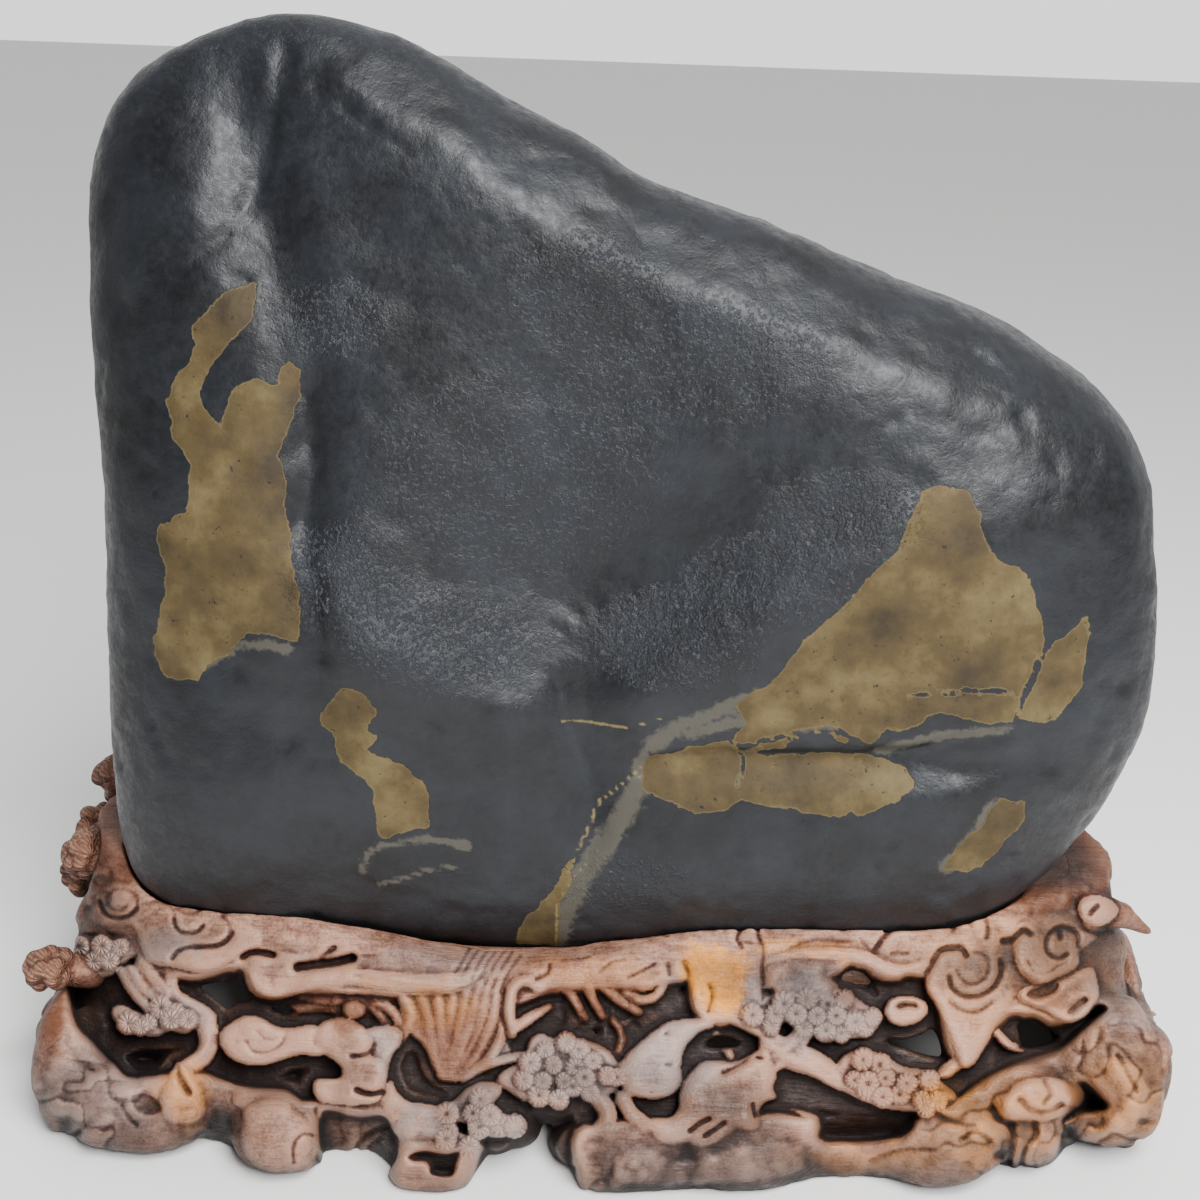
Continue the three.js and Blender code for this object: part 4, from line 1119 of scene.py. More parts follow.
# The front as the photo shows it: roots are u, v, radius, height; plates are height, tilt,
# rounding, outline; sprays height, outline; hollows level, outline; grooves half width, depth, line
frontDesign = {
    "recess": [
        (-11, [(66, 960), (72, 935), (110, 931), (132, 936), (145, 962), (190, 975), (235, 965),
               (250, 972), (262, 992), (300, 989), (340, 990), (400, 992), (450, 990), (482, 985),
               (505, 1000), (545, 988), (600, 984), (640, 984), (690, 978), (700, 1012), (720, 1020),
               (765, 1000), (790, 985), (828, 975), (850, 960), (885, 975), (930, 975), (960, 1060),
               (1010, 1010), (1060, 1020), (1100, 1000), (1112, 1008), (1085, 1035), (1060, 1055),
               (1010, 1072), (985, 1085), (950, 1110), (918, 1125), (900, 1142), (815, 1142),
               (812, 1122), (760, 1120), (700, 1150), (640, 1125), (600, 1130), (580, 1135),
               (575, 1200), (470, 1200), (476, 1145), (440, 1150), (400, 1110), (320, 1105),
               (300, 1106), (285, 1096), (240, 1092), (200, 1078), (170, 1080), (125, 1082),
               (110, 1066), (90, 1048), (72, 1030), (64, 1000)]),
        (-7, [(320, 1108), (360, 1112), (385, 1112), (400, 1130), (404, 1150), (398, 1176), (394, 1200),
              (352, 1200), (334, 1180), (320, 1162)]),
    ],
    "roots": [
        [(252, 966, 2.2, 1), (257, 983, 3.4, 3), (275, 988, 3.6, 3), (305, 982, 3.2, 3),
         (345, 977, 3.0, 3), (385, 980, 3.0, 3), (430, 983, 3.0, 3), (462, 979, 2.6, 2),
         (484, 970, 1.2, 0.5)],
        [(512, 1034, 1.6, 2), (508, 1012, 2.2, 3), (510, 995, 2.2, 3), (519, 983, 2, 3),
         (531, 980, 1.4, 2)],
        [(511, 1032, 1.4, 3), (525, 1021, 1.9, 3), (540, 1012, 1.5, 2), (549, 1007, 1, 1)],
        [(122, 972, 1.8, 1), (133, 990, 2, 1), (148, 1008, 1.6, 1)],
        [(130, 970, 1.8, 2), (142, 986, 2, 2), (156, 998, 1.6, 2)],
        [(142, 964, 2.4, 2), (154, 980, 2.4, 2), (166, 994, 2, 2)],
        [(168, 970, 3, 0), (170, 984, 2.6, 0), (174, 996, 2.4, 0)],
        [(205, 1020, 3.6, 0), (209, 1040, 3.4, -1), (204, 1056, 3, -2), (188, 1068, 3, -1)],
        [(300, 995, 1.6, -6), (330, 1000, 1.8, -5), (352, 998, 1.6, -5)],
        [(282, 1010, 1.5, -8), (320, 1008, 1.6, -7), (345, 1012, 1.6, -6)],
        [(360, 990, 1.8, -3), (378, 1000, 1.8, -4), (395, 1015, 1.8, -5), (403, 1034, 1.6, -5)],
        [(350, 992, 1.5, -4), (368, 1004, 1.5, -6), (384, 1022, 1.5, -7), (391, 1036, 1.4, -7)],
        [(404, 998, 2, -1), (411, 1014, 1.8, -3), (406, 1030, 1.6, -5), (398, 1044, 1.4, -7)],
        [(422, 996, 2.2, -1), (428, 1018, 1.8, -3), (433, 1044, 1.5, -5), (440, 1076, 1.2, -6)],
        [(438, 1000, 2, -1), (441, 1026, 1.6, -3), (443, 1052, 1.3, -5), (444, 1078, 1.1, -6)],
        [(453, 998, 2, -1), (450, 1022, 1.7, -3), (447, 1050, 1.3, -5), (446, 1078, 1.1, -6)],
        [(467, 992, 2, 0), (461, 1022, 1.7, -2), (454, 1050, 1.3, -4), (448, 1078, 1.1, -6)],
        [(480, 984, 2, 1), (472, 1016, 1.7, -1), (463, 1045, 1.4, -3), (450, 1078, 1.1, -6)],
        [(490, 976, 2, 1), (484, 1008, 1.7, 0), (475, 1036, 1.5, -3), (462, 1060, 1.2, -5),
         (452, 1078, 1, -6)],
        [(499, 974, 2, 1), (495, 1008, 1.8, 0), (487, 1034, 1.6, -2), (473, 1060, 1.3, -5),
         (455, 1080, 1, -6)],
        [(506, 1018, 1.6, 0), (500, 1040, 1.7, -1), (487, 1060, 1.5, -3), (463, 1078, 1.1, -6)],
        [(522, 1056, 1.6, -1), (504, 1060, 1.6, -2), (482, 1068, 1.4, -4), (463, 1080, 1, -6)],
        [(560, 984, 1.6, -2), (573, 998, 1.6, -4), (584, 1018, 1.4, -7)],
        [(578, 968, 1.8, 0), (586, 982, 1.8, -1), (592, 998, 1.6, -3), (602, 1016, 1.4, -6)],
        [(598, 972, 1.8, 0), (606, 988, 1.8, -2), (620, 1001, 1.7, -4), (638, 1012, 1.4, -6)],
        [(617, 973, 1.7, 0), (631, 984, 1.7, -1), (649, 985, 1.6, -1), (655, 974, 1.4, -1),
         (642, 968, 1.3, -1)],
        [(626, 992, 1.5, -3), (640, 1000, 1.7, -3), (656, 996, 1.5, -3), (664, 982, 1.4, -2)],
        [(612, 1020, 1.3, -8), (622, 1036, 1.3, -8), (618, 1052, 1.3, -8)],
        [(770, 1044, 4, 0), (790, 1055, 4.6, 1), (815, 1064, 4.2, 1), (842, 1082, 3, 0)],
        [(803, 1034, 3, 1), (790, 1048, 3.6, 1), (776, 1060, 3.5, 0)],
        [(600, 1100, 3, 0), (608, 1114, 3, 0), (598, 1136, 3, -1)],
        [(622, 1098, 2.6, 1), (630, 1112, 2.6, 1), (646, 1126, 2.6, 1)],
        [(765, 962, 1.5, 1), (790, 956, 1.8, 1.5), (830, 953, 2.1, 2), (860, 957, 2.3, 2.5),
         (885, 968, 2.3, 2.5), (905, 971, 2.1, 2.5), (926, 965, 1.8, 2)],
        [(998, 1034, 1.4, -2), (1008, 1045, 1.5, -2), (1022, 1049, 1, -3)],
        [(945, 1072, 2.4, -1), (956, 1064, 2.2, 0), (965, 1060, 2.2, 1)],
        [(730, 1056, 1.4, -7), (723, 1044, 1.3, -8), (716, 1034, 1.2, -9)],
    ],
    "plates": [
        (4.5, 0.22, 3.2, [(84, 893), (80, 903), (83, 914), (91, 924), (103, 929), (116, 927), (127, 927),
                          (134, 933), (139, 946), (146, 959), (156, 965), (172, 967), (188, 971),
                          (204, 972), (220, 968), (232, 961), (246, 953), (262, 945), (262, 930),
                          (240, 915), (210, 905), (180, 897), (150, 890), (120, 884), (98, 886)]),
        (2.5, 0.05, 2.5, [(248, 956), (262, 950), (280, 950), (300, 955), (312, 964), (300, 975),
                          (285, 986), (268, 990), (257, 984), (251, 972)]),
        (1, 0, 2, [(366, 1030), (380, 1026), (392, 1026), (403, 1033), (400, 1045), (392, 1056),
                   (388, 1072), (384, 1090), (374, 1080), (372, 1050)]),
        (4.5, 0, 3.6, [(219, 1040), (222, 1030), (232, 1022), (248, 1015), (262, 1018), (276, 1026),
                       (290, 1028), (310, 1025), (330, 1030), (340, 1045), (320, 1056), (300, 1055),
                       (285, 1059), (270, 1064), (254, 1066), (238, 1062), (226, 1054)]),
        (5, 0, 3, [(314, 1036), (318, 1026), (330, 1019), (345, 1018), (358, 1023), (368, 1032),
                   (374, 1044), (371, 1055), (385, 1062), (386, 1078), (383, 1092), (378, 1101),
                   (360, 1105), (335, 1104), (320, 1101), (312, 1090), (315, 1080), (328, 1078),
                   (341, 1077), (340, 1066), (330, 1058), (318, 1050)]),
        (4, 0, 3, [(342, 1010), (346, 1003), (356, 1001), (364, 1005), (366, 1012), (360, 1018),
                   (348, 1018)]),
        (2, 0, 3, [(380, 1101), (391, 1080), (398, 1093), (410, 1102), (428, 1104), (440, 1108),
                   (450, 1118), (448, 1130), (436, 1140), (420, 1135), (408, 1140), (394, 1132),
                   (388, 1118)]),
        (-6.5, -0.10, 1.5, [(400, 996), (440, 990), (480, 985), (512, 985), (508, 1020), (512, 1048),
                            (500, 1062), (470, 1078), (446, 1082), (434, 1070), (424, 1048),
                            (408, 1030)]),
        (1.5, 0, 4, [(404, 1138), (440, 1146), (478, 1143), (472, 1165), (464, 1194), (440, 1204),
                     (410, 1204), (388, 1192), (386, 1176), (396, 1160)]),
        (3, 0, 5, [(640, 1042), (655, 1030), (668, 1022), (688, 1019), (708, 1020), (714, 1026),
                   (700, 1032), (691, 1040), (684, 1050), (681, 1065), (681, 1082), (676, 1092),
                   (660, 1099), (640, 1098), (625, 1093), (620, 1080), (617, 1068), (625, 1056)]),
        (3.5, 0, 5, [(683, 1082), (690, 1073), (700, 1063), (715, 1060), (730, 1062), (745, 1058),
                     (757, 1051), (768, 1049), (773, 1060), (777, 1074), (773, 1088), (777, 1098),
                     (766, 1102), (759, 1112), (761, 1126), (752, 1132), (738, 1130), (728, 1137),
                     (714, 1145), (699, 1149), (685, 1144), (672, 1147), (658, 1142), (650, 1132),
                     (640, 1122), (655, 1118), (668, 1118), (677, 1110), (679, 1095)]),
        (3.5, 0.12, 4, [(764, 972), (768, 962), (785, 956), (805, 956), (825, 963), (828, 975),
                        (838, 986), (830, 1002), (800, 1006), (778, 1002), (766, 992)]),
        (3.5, 0, 2.4, [(884, 1012), (888, 1001), (900, 996), (914, 997), (926, 1003), (927, 1014),
                       (918, 1022), (905, 1026), (891, 1023)]),
        (5, 0.16, 3.2, [(925, 988), (928, 972), (934, 960), (942, 950), (950, 935), (965, 925),
                        (990, 925), (1008, 935), (1015, 950), (1018, 975), (1017, 995), (1008, 1012),
                        (996, 1024), (990, 1038), (982, 1052), (972, 1066), (962, 1068), (955, 1054),
                        (950, 1038), (942, 1020), (934, 1003)]),
        (5.5, 0.20, 3.2, [(1014, 955), (1012, 940), (1000, 932), (992, 920), (1002, 912), (1030, 910),
                          (1060, 908), (1085, 915), (1104, 922), (1100, 935), (1088, 945),
                          (1079, 952), (1080, 962), (1072, 972), (1058, 978), (1046, 983),
                          (1034, 984), (1024, 977), (1017, 967)]),
        (6, 0, 3, [(1080, 915), (1078, 905), (1086, 897), (1100, 896), (1112, 901), (1118, 910),
                   (1112, 920), (1100, 926), (1088, 925)]),
        (4.5, 0, 3, [(1018, 997), (1024, 988), (1048, 985), (1062, 980), (1080, 970), (1092, 968),
                     (1097, 980), (1099, 995), (1092, 1008), (1082, 1019), (1068, 1023), (1056, 1019),
                     (1045, 1011), (1032, 1006)]),
        (3, 0, 5, [(163, 1120), (158, 1100), (163, 1085), (172, 1070), (178, 1062), (188, 1066),
                   (198, 1078), (205, 1095), (206, 1115), (195, 1125), (175, 1125)]),
        (3.5, 0, 8, [(238, 1150), (236, 1125), (240, 1108), (252, 1098), (270, 1093), (288, 1096),
                     (302, 1108), (314, 1122), (318, 1145), (316, 1172), (290, 1180), (255, 1174)]),
        (2, 0, 8, [(35, 1080), (42, 1050), (58, 1030), (72, 1038), (90, 1058), (112, 1068),
                   (120, 1085), (125, 1105), (118, 1130), (95, 1140), (70, 1128), (45, 1120)]),
        (4.5, 0, 5, [(1000, 1100), (1008, 1090), (1020, 1081), (1040, 1077), (1062, 1079), (1076, 1090),
                     (1078, 1101), (1068, 1112), (1050, 1121), (1028, 1121), (1010, 1119),
                     (1001, 1110)]),
        (2.5, 0, 9, [(1085, 1130), (1100, 1112), (1112, 1100), (1100, 1080), (1085, 1062), (1100, 1048),
                     (1125, 1050), (1150, 1070), (1160, 1100), (1150, 1130), (1120, 1146),
                     (1095, 1144)]),
        (2, 0, 6, [(1025, 1170), (1022, 1150), (1030, 1132), (1050, 1126), (1066, 1138), (1066, 1155),
                   (1050, 1172)]),
        (1.5, 0, 8, [(600, 1180), (612, 1150), (640, 1132), (680, 1150), (740, 1136), (790, 1130),
                     (812, 1140), (812, 1175), (760, 1192), (680, 1196), (620, 1194)]),
    ],
    "sprays": [
        (5, [(33, 962), (38, 954), (46, 950), (56, 943), (64, 934), (76, 932), (96, 937), (120, 935),
             (131, 938), (139, 946), (138, 954), (129, 960), (122, 965), (112, 964), (118, 970),
             (110, 976), (94, 979), (80, 975), (68, 976), (52, 977), (40, 973)]),
        (4.5, [(112, 1018), (112, 1009), (122, 1005), (136, 1011), (146, 1014), (152, 1004),
               (164, 998), (178, 991), (192, 998), (208, 1007), (217, 1017), (212, 1026), (196, 1027),
               (187, 1034), (170, 1031), (156, 1037), (140, 1034), (124, 1026)]),
        (4.5, [(496, 1080), (504, 1070), (520, 1062), (526, 1052), (530, 1040), (540, 1033),
               (552, 1038), (572, 1038), (592, 1042), (608, 1050), (618, 1064), (622, 1076),
               (616, 1091), (600, 1097), (582, 1095), (568, 1094), (558, 1103), (540, 1099),
               (526, 1102), (512, 1094)]),
        (4, [(440, 1108), (454, 1100), (464, 1090), (480, 1082), (496, 1083), (502, 1092), (494, 1104),
             (505, 1116), (519, 1121), (515, 1130), (498, 1138), (480, 1132), (468, 1124),
             (454, 1124), (458, 1132), (474, 1136), (477, 1146), (462, 1151), (444, 1148),
             (434, 1136), (432, 1120)]),
        (5, [(778, 996), (784, 985), (800, 986), (825, 985), (846, 992), (866, 1005), (879, 1018),
             (876, 1030), (858, 1038), (836, 1038), (810, 1034), (796, 1030), (782, 1016)]),
        (4.5, [(727, 1020), (738, 1010), (755, 1003), (774, 999), (790, 1006), (788, 1018),
               (776, 1030), (764, 1039), (748, 1032)]),
        (5, [(834, 1078), (838, 1062), (848, 1053), (866, 1050), (886, 1056), (902, 1066),
             (922, 1070), (942, 1082), (957, 1095), (946, 1104), (926, 1110), (900, 1111),
             (880, 1107), (860, 1099), (842, 1090)]),
    ],
    "hollows": [
        (-6, [(404, 1158), (412, 1150), (425, 1147), (445, 1150), (462, 1150), (460, 1165),
              (455, 1178), (440, 1180), (428, 1176), (424, 1166), (412, 1164)]),
        (-14, [(392, 1062), (400, 1048), (412, 1040), (424, 1050), (434, 1072), (446, 1081),
               (470, 1080), (500, 1066), (500, 1074), (486, 1080), (470, 1086), (460, 1096),
               (448, 1105), (428, 1104), (412, 1101), (400, 1093), (394, 1078)]),
        (-4, [(515, 990), (524, 983), (536, 988), (542, 1002), (540, 1010), (524, 1016), (515, 1022),
              (513, 1008)]),
        (-13, [(828, 982), (833, 972), (841, 965), (854, 962), (866, 964), (877, 973), (884, 984),
               (888, 992), (884, 1004), (878, 1010), (866, 1002), (852, 995), (838, 987)]),
        (-13, [(893, 984), (897, 975), (908, 971), (920, 973), (926, 980), (920, 988), (908, 993),
               (898, 991)]),
        (-5, [(893, 1006), (898, 1001), (910, 1000), (920, 1004), (919, 1010), (908, 1009),
              (898, 1011)]),
        (-8, [(814, 1048), (820, 1040), (832, 1037), (840, 1044), (840, 1055), (832, 1062),
              (820, 1058)]),
        (-9, [(772, 1085), (775, 1076), (788, 1071), (800, 1075), (820, 1081), (838, 1088),
              (855, 1098), (880, 1108), (918, 1110), (920, 1125), (905, 1142), (870, 1145),
              (820, 1145), (813, 1124), (800, 1110), (780, 1100)]),
        (-12, [(762, 1108), (770, 1102), (784, 1100), (796, 1103), (806, 1112), (813, 1121),
               (798, 1122), (778, 1119), (765, 1118)]),
        (-13, [(642, 1108), (650, 1102), (664, 1099), (677, 1100), (678, 1110), (670, 1118),
               (654, 1118)]),
        (-6, [(661, 1034), (664, 1029), (669, 1030), (670, 1035), (665, 1038)]),
        (-6, [(662, 1064), (668, 1061), (675, 1062), (676, 1066), (668, 1068)]),
        (-5, [(647, 1092), (651, 1089), (655, 1092), (652, 1096), (648, 1096)]),
        (-6, [(744, 1056), (754, 1052), (764, 1055), (766, 1061), (754, 1061)]),
        (-14, [(1073, 1080), (1085, 1077), (1096, 1083), (1106, 1094), (1113, 1103), (1109, 1113),
               (1098, 1117), (1084, 1118), (1072, 1122), (1061, 1128), (1058, 1120), (1066, 1112),
               (1076, 1104), (1078, 1094)]),
        (0, [(1024, 996), (1030, 988), (1045, 984), (1060, 982), (1058, 990), (1048, 997),
             (1034, 1000)]),
        (-4, [(84, 1070), (90, 1064), (98, 1068), (98, 1074), (90, 1074)]),
        (-1.5, [(884, 956), (890, 949), (905, 948), (913, 951), (910, 957), (897, 958)]),
        (-13, [(758, 990), (764, 986), (774, 986), (777, 994), (768, 1000), (759, 998)]),
        (-2, [(128, 1096), (140, 1090), (160, 1098), (164, 1112), (150, 1118), (134, 1112)]),
    ],
    "holes": [
        [(187, 988), (192, 979), (205, 975), (222, 971), (238, 964), (247, 968), (252, 980),
         (260, 993), (285, 996), (300, 1003), (310, 1012), (330, 1016), (318, 1022), (300, 1022),
         (285, 1024), (268, 1018), (250, 1011), (238, 1014), (226, 1020), (216, 1012), (205, 1003),
         (194, 996)],
        [(221, 1058), (232, 1065), (254, 1071), (275, 1068), (290, 1060), (310, 1059), (322, 1062),
         (332, 1070), (338, 1076), (318, 1076), (310, 1083), (311, 1096), (300, 1094), (280, 1089),
         (262, 1090), (245, 1087), (232, 1080), (222, 1072)],
        [(125, 1045), (140, 1040), (160, 1040), (185, 1038), (195, 1042), (190, 1055), (176, 1062),
         (165, 1075), (150, 1078), (130, 1076), (118, 1064), (110, 1055)],
        [(884, 1030), (905, 1030), (920, 1024), (934, 1017), (942, 1025), (949, 1040), (953, 1055),
         (950, 1066), (935, 1068), (918, 1064), (898, 1057), (878, 1050), (858, 1046), (842, 1046),
         (840, 1042), (860, 1041), (875, 1037)],
        [(880, 985), (888, 988), (884, 1000), (882, 1015), (884, 1028), (880, 1032), (880, 1015),
         (878, 1000)],
        [(1008, 1022), (1018, 1012), (1034, 1011), (1046, 1016), (1056, 1023), (1070, 1028),
         (1082, 1025), (1075, 1036), (1066, 1046), (1054, 1054), (1038, 1058), (1022, 1058),
         (1012, 1052), (1010, 1036)],
        [(690, 1052), (696, 1040), (706, 1030), (718, 1026), (732, 1029), (747, 1036), (757, 1045),
         (752, 1052), (738, 1056), (722, 1058), (708, 1058), (698, 1062), (690, 1072), (683, 1078),
         (682, 1062)],
        [(783, 1098), (792, 1091), (803, 1094), (818, 1100), (832, 1103), (842, 1105), (850, 1110),
         (860, 1115), (870, 1117), (868, 1122), (860, 1127), (850, 1127), (835, 1126), (820, 1125),
         (812, 1122), (805, 1113), (797, 1105), (788, 1100)],
        [(463, 1225), (468, 1175), (477, 1147), (486, 1136), (496, 1141), (506, 1134), (519, 1131),
         (523, 1118), (522, 1105), (545, 1104), (562, 1106), (578, 1104), (584, 1118), (582, 1132),
         (571, 1138), (566, 1147), (571, 1156), (580, 1163), (582, 1185), (586, 1225)],
    ],
    "grooves": [
        (0.8, 2.2, [(100, 901), (103, 911), (111, 917), (120, 918), (130, 915), (137, 908)]),
        (0.6, 1.0, [(137, 908), (136, 896), (127, 890), (117, 889), (109, 894), (107, 902), (112, 909),
                    (120, 911), (127, 906)]),
        (0.8, 2.2, [(174, 919), (176, 927), (182, 932), (190, 933), (198, 931), (203, 926)]),
        (0.9, 2.8, [(232, 933), (226, 941), (216, 946), (200, 947), (186, 948), (176, 953), (172, 959)]),
        (0.5, 0.9, [(222, 916), (229, 923), (230, 931)]),
        (0.5, 0.9, [(142, 904), (160, 902), (172, 908), (175, 917)]),
        (0.5, 0.8, [(176, 908), (186, 914), (198, 912), (204, 904)]),
        (1.1, 7, [(243, 957), (250, 953), (262, 953), (273, 955)]),
        (1.5, 10, [(298, 967), (312, 965), (335, 962), (352, 958)]),
        (1.0, 4, [(322, 958), (334, 948)]),
        (0.5, 1.0, [(350, 957), (375, 955)]),
        (0.55, 1.1, [(470, 948), (462, 962), (455, 973)]),
        (0.55, 1.1, [(480, 948), (470, 962), (463, 975)]),
        (0.55, 1.1, [(490, 948), (479, 963), (472, 979)]),
        (0.55, 1.1, [(498, 948), (487, 964), (479, 980)]),
        (0.55, 1.1, [(506, 949), (494, 966), (486, 984)]),
        (0.55, 1.1, [(514, 950), (502, 968), (493, 988)]),
        (0.55, 1.1, [(521, 955), (509, 972), (500, 992)]),
        (0.8, 4, [(504, 990), (502, 1010), (506, 1032), (511, 1046)]),
        (0.6, 2.4, [(736, 917), (741, 928), (737, 938), (742, 948)]),
        (0.6, 2.2, [(757, 926), (759, 938), (763, 947), (762, 970), (763, 1000)]),
        (0.5, 1.0, [(740, 942), (762, 944)]),
        (0.6, 2.0, [(709, 984), (712, 996), (708, 1012)]),
        (0.8, 3.0, [(684, 962), (688, 976), (682, 990)]),
        (0.5, 1.0, [(563, 960), (578, 959), (590, 957)]),
        (0.7, 2.0, [(536, 979), (547, 974), (550, 965)]),
        (0.6, 1.2, [(655, 933), (668, 936)]),
        (0.8, 2.2, [(668, 965), (670, 976)]),
        (0.6, 1.6, [(628, 978), (640, 972), (655, 964)]),
        (0.5, 1.0, [(600, 972), (612, 962), (626, 960)]),
        (0.5, 0.8, [(692, 1187), (705, 1186), (719, 1185)]),
        (0.9, 4.0, [(723, 1072), (734, 1067), (746, 1060)]),
        (0.9, 4.0, [(690, 1131), (699, 1124), (709, 1119)]),
        (0.9, 4.0, [(705, 1136), (714, 1130), (724, 1123)]),
        (0.8, 3.0, [(753, 1104), (755, 1116)]),
        (0.9, 3.0, [(352, 1056), (362, 1055), (371, 1051), (374, 1044)]),
        (1.1, 4.5, [(357, 1090), (364, 1093), (374, 1094), (382, 1092)]),
        (0.8, 1.6, [(246, 1040), (250, 1048), (258, 1053), (268, 1052), (278, 1047), (284, 1039),
                    (284, 1032)]),
        (0.6, 1.1, [(257, 1029), (262, 1036), (271, 1040), (279, 1037)]),
        (0.7, 1.2, [(316, 1029), (314, 1040), (318, 1048), (330, 1050)]),
        (0.6, 0.8, [(330, 1028), (345, 1024), (360, 1031), (366, 1042)]),
        (0.7, 1.8, [(294, 1162), (293, 1150), (297, 1139), (305, 1134), (315, 1136)]),
        (1.0, 4.5, [(175, 1066), (181, 1080), (189, 1093)]),
        (0.7, 1.6, [(122, 1105), (128, 1116), (137, 1126)]),
        (0.8, 2.0, [(316, 1110), (320, 1135), (318, 1160)]),
        (0.8, 1.6, [(352, 1160), (358, 1145), (368, 1134), (384, 1126), (396, 1122)]),
        (0.7, 1.2, [(362, 1160), (368, 1148), (380, 1138)]),
        (0.9, 2.2, [(874, 951), (884, 937), (894, 929), (915, 927)]),
        (0.6, 1.1, [(790, 948), (815, 940), (850, 942)]),
        (0.5, 1.0, [(860, 938), (868, 948), (880, 954)]),
        (1.1, 3.4, [(926, 974), (933, 961), (940, 951), (950, 948), (962, 949), (966, 955)]),
        (0.9, 2.6, [(949, 977), (952, 988), (961, 995), (973, 997), (986, 993), (996, 984),
                    (1001, 972), (1000, 960)]),
        (0.6, 1.2, [(957, 970), (962, 980), (974, 984), (985, 978), (989, 966), (984, 955),
                    (973, 952)]),
        (0.7, 1.6, [(950, 1002), (962, 1010), (977, 1012), (992, 1003)]),
        (0.6, 1.2, [(953, 931), (957, 923), (966, 921), (972, 927)]),
        (0.7, 2.0, [(986, 921), (988, 930), (986, 938)]),
        (1.1, 3.4, [(1003, 941), (1011, 940), (1018, 934), (1024, 930), (1030, 934)]),
        (0.9, 2.2, [(1078, 946), (1078, 936), (1071, 929), (1061, 927), (1051, 932), (1046, 942),
                    (1047, 951), (1053, 957), (1061, 958), (1067, 954)]),
        (0.9, 2.2, [(1060, 933), (1060, 939)]),
        (0.6, 1.1, [(1027, 960), (1034, 972), (1046, 974), (1058, 966), (1068, 962)]),
        (1.2, 3.4, [(1090, 914), (1097, 906)]),
        (0.8, 2.2, [(1078, 918), (1086, 930), (1098, 934)]),
        (1.1, 3.4, [(1070, 1012), (1076, 1006), (1085, 1000)]),
        (1.3, 2.4, [(1020, 1100), (1030, 1109), (1045, 1112), (1062, 1104)]),
        (1.0, 1.6, [(1045, 1082), (1050, 1094), (1044, 1104)]),
        (1.0, 2.2, [(1010, 1125), (1014, 1140), (1010, 1162)]),
        (1.0, 2.2, [(1034, 1124), (1036, 1136), (1025, 1150), (1021, 1170)]),
        (1.2, 2.4, [(992, 1108), (1000, 1120), (1014, 1125)]),
        (1.0, 2.0, [(1118, 1055), (1128, 1075), (1137, 1092)]),
        (1.0, 1.8, [(1070, 1130), (1078, 1142), (1092, 1146)]),
        (0.9, 1.6, [(935, 1112), (950, 1122), (975, 1126)]),
        (1.0, 1.8, [(960, 1140), (975, 1132), (990, 1140)]),
        (0.8, 1.2, [(870, 1160), (900, 1150), (935, 1150)]),
    ],
    # weathered places: size and depth of the grooves, middle and half size of the place
    "rocks": [(8, 1.6, (95, 1100), (70, 56)), (8, 1.0, (205, 1110), (56, 40)),
              (8, 1.8, (965, 1110), (60, 52)), (9, 1.8, (1120, 1090), (80, 80)),
              (7, 1.4, (1020, 1148), (80, 40)), (7, 0.9, (595, 1165), (34, 44)),
              (6, 0.8, (360, 1135), (46, 36)), (5, 2.0, (600, 1010), (70, 34)),
              (5, 1.6, (330, 1004), (70, 18)), (7, 1.0, (80, 880), (60, 40)),
              (8, 0.5, (700, 1165), (110, 34)), (9, 0.8, (1050, 900), (90, 50))],
    # stains: u, v, half width, half height, strength
    "stains": {
        "gold": [(718, 978, 38, 38, 1.0), (712, 950, 34, 14, 0.8), (800, 946, 60, 12, 0.3),
                 (962, 1100, 34, 26, 0.35), (985, 1150, 36, 24, 0.3)],
        "ochre": [(432, 1006, 50, 30, 0.7), (190, 1096, 30, 38, 0.8), (1120, 1098, 64, 60, 0.75),
                  (1000, 1128, 90, 60, 0.6), (880, 1162, 100, 24, 0.6), (960, 1095, 60, 30, 0.8),
                  (1010, 975, 130, 90, 0.35), (600, 975, 70, 20, 0.5), (400, 975, 70, 12, 0.3)],
        # some of these spots are painted shade, as the dark left end at u 45, v 1000
        "brown": [(600, 1012, 66, 36, 0.9), (325, 1006, 86, 24, 0.8), (1030, 885, 70, 34, 0.9),
                  (1042, 992, 26, 11, 0.7), (105, 872, 60, 26, 0.9), (1090, 1100, 28, 26, 0.6),
                  (860, 1135, 60, 16, 0.5), (855, 985, 34, 26, 0.6), (752, 958, 14, 26, 0.5),
                  (450, 1042, 66, 52, 0.7), (45, 1000, 30, 44, 1.0), (800, 935, 60, 14, 0.4),
                  (520, 972, 60, 20, 0.3), (730, 1110, 60, 40, 0.3)],
        "grey": [(160, 945, 42, 26, 0.6), (560, 1070, 70, 40, 0.8), (670, 1055, 60, 48, 0.8),
                 (480, 1118, 56, 40, 0.7), (410, 1118, 28, 24, 0.7), (90, 958, 66, 30, 0.6),
                 (165, 1014, 60, 28, 0.6), (678, 998, 28, 28, 0.7), (90, 1092, 80, 58, 0.5),
                 (815, 1008, 80, 40, 0.8), (385, 1050, 18, 30, 0.7), (440, 962, 80, 22, 0.35),
                 (700, 1165, 130, 34, 0.35), (1120, 1010, 60, 24, 0.5), (950, 1175, 90, 18, 0.3)],
    },
}


def oval(x, z, halfWidth, halfHeight, tilt=0):
    c, s = math.cos(math.radians(tilt)), math.sin(math.radians(tilt))
    turns = np.arange(10) * 2 * np.pi / 10
    across, up = halfWidth * np.cos(turns), halfHeight * np.sin(turns)
    return [(x + a * c - b * s, z + a * s + b * c) for a, b in zip(across, up)]


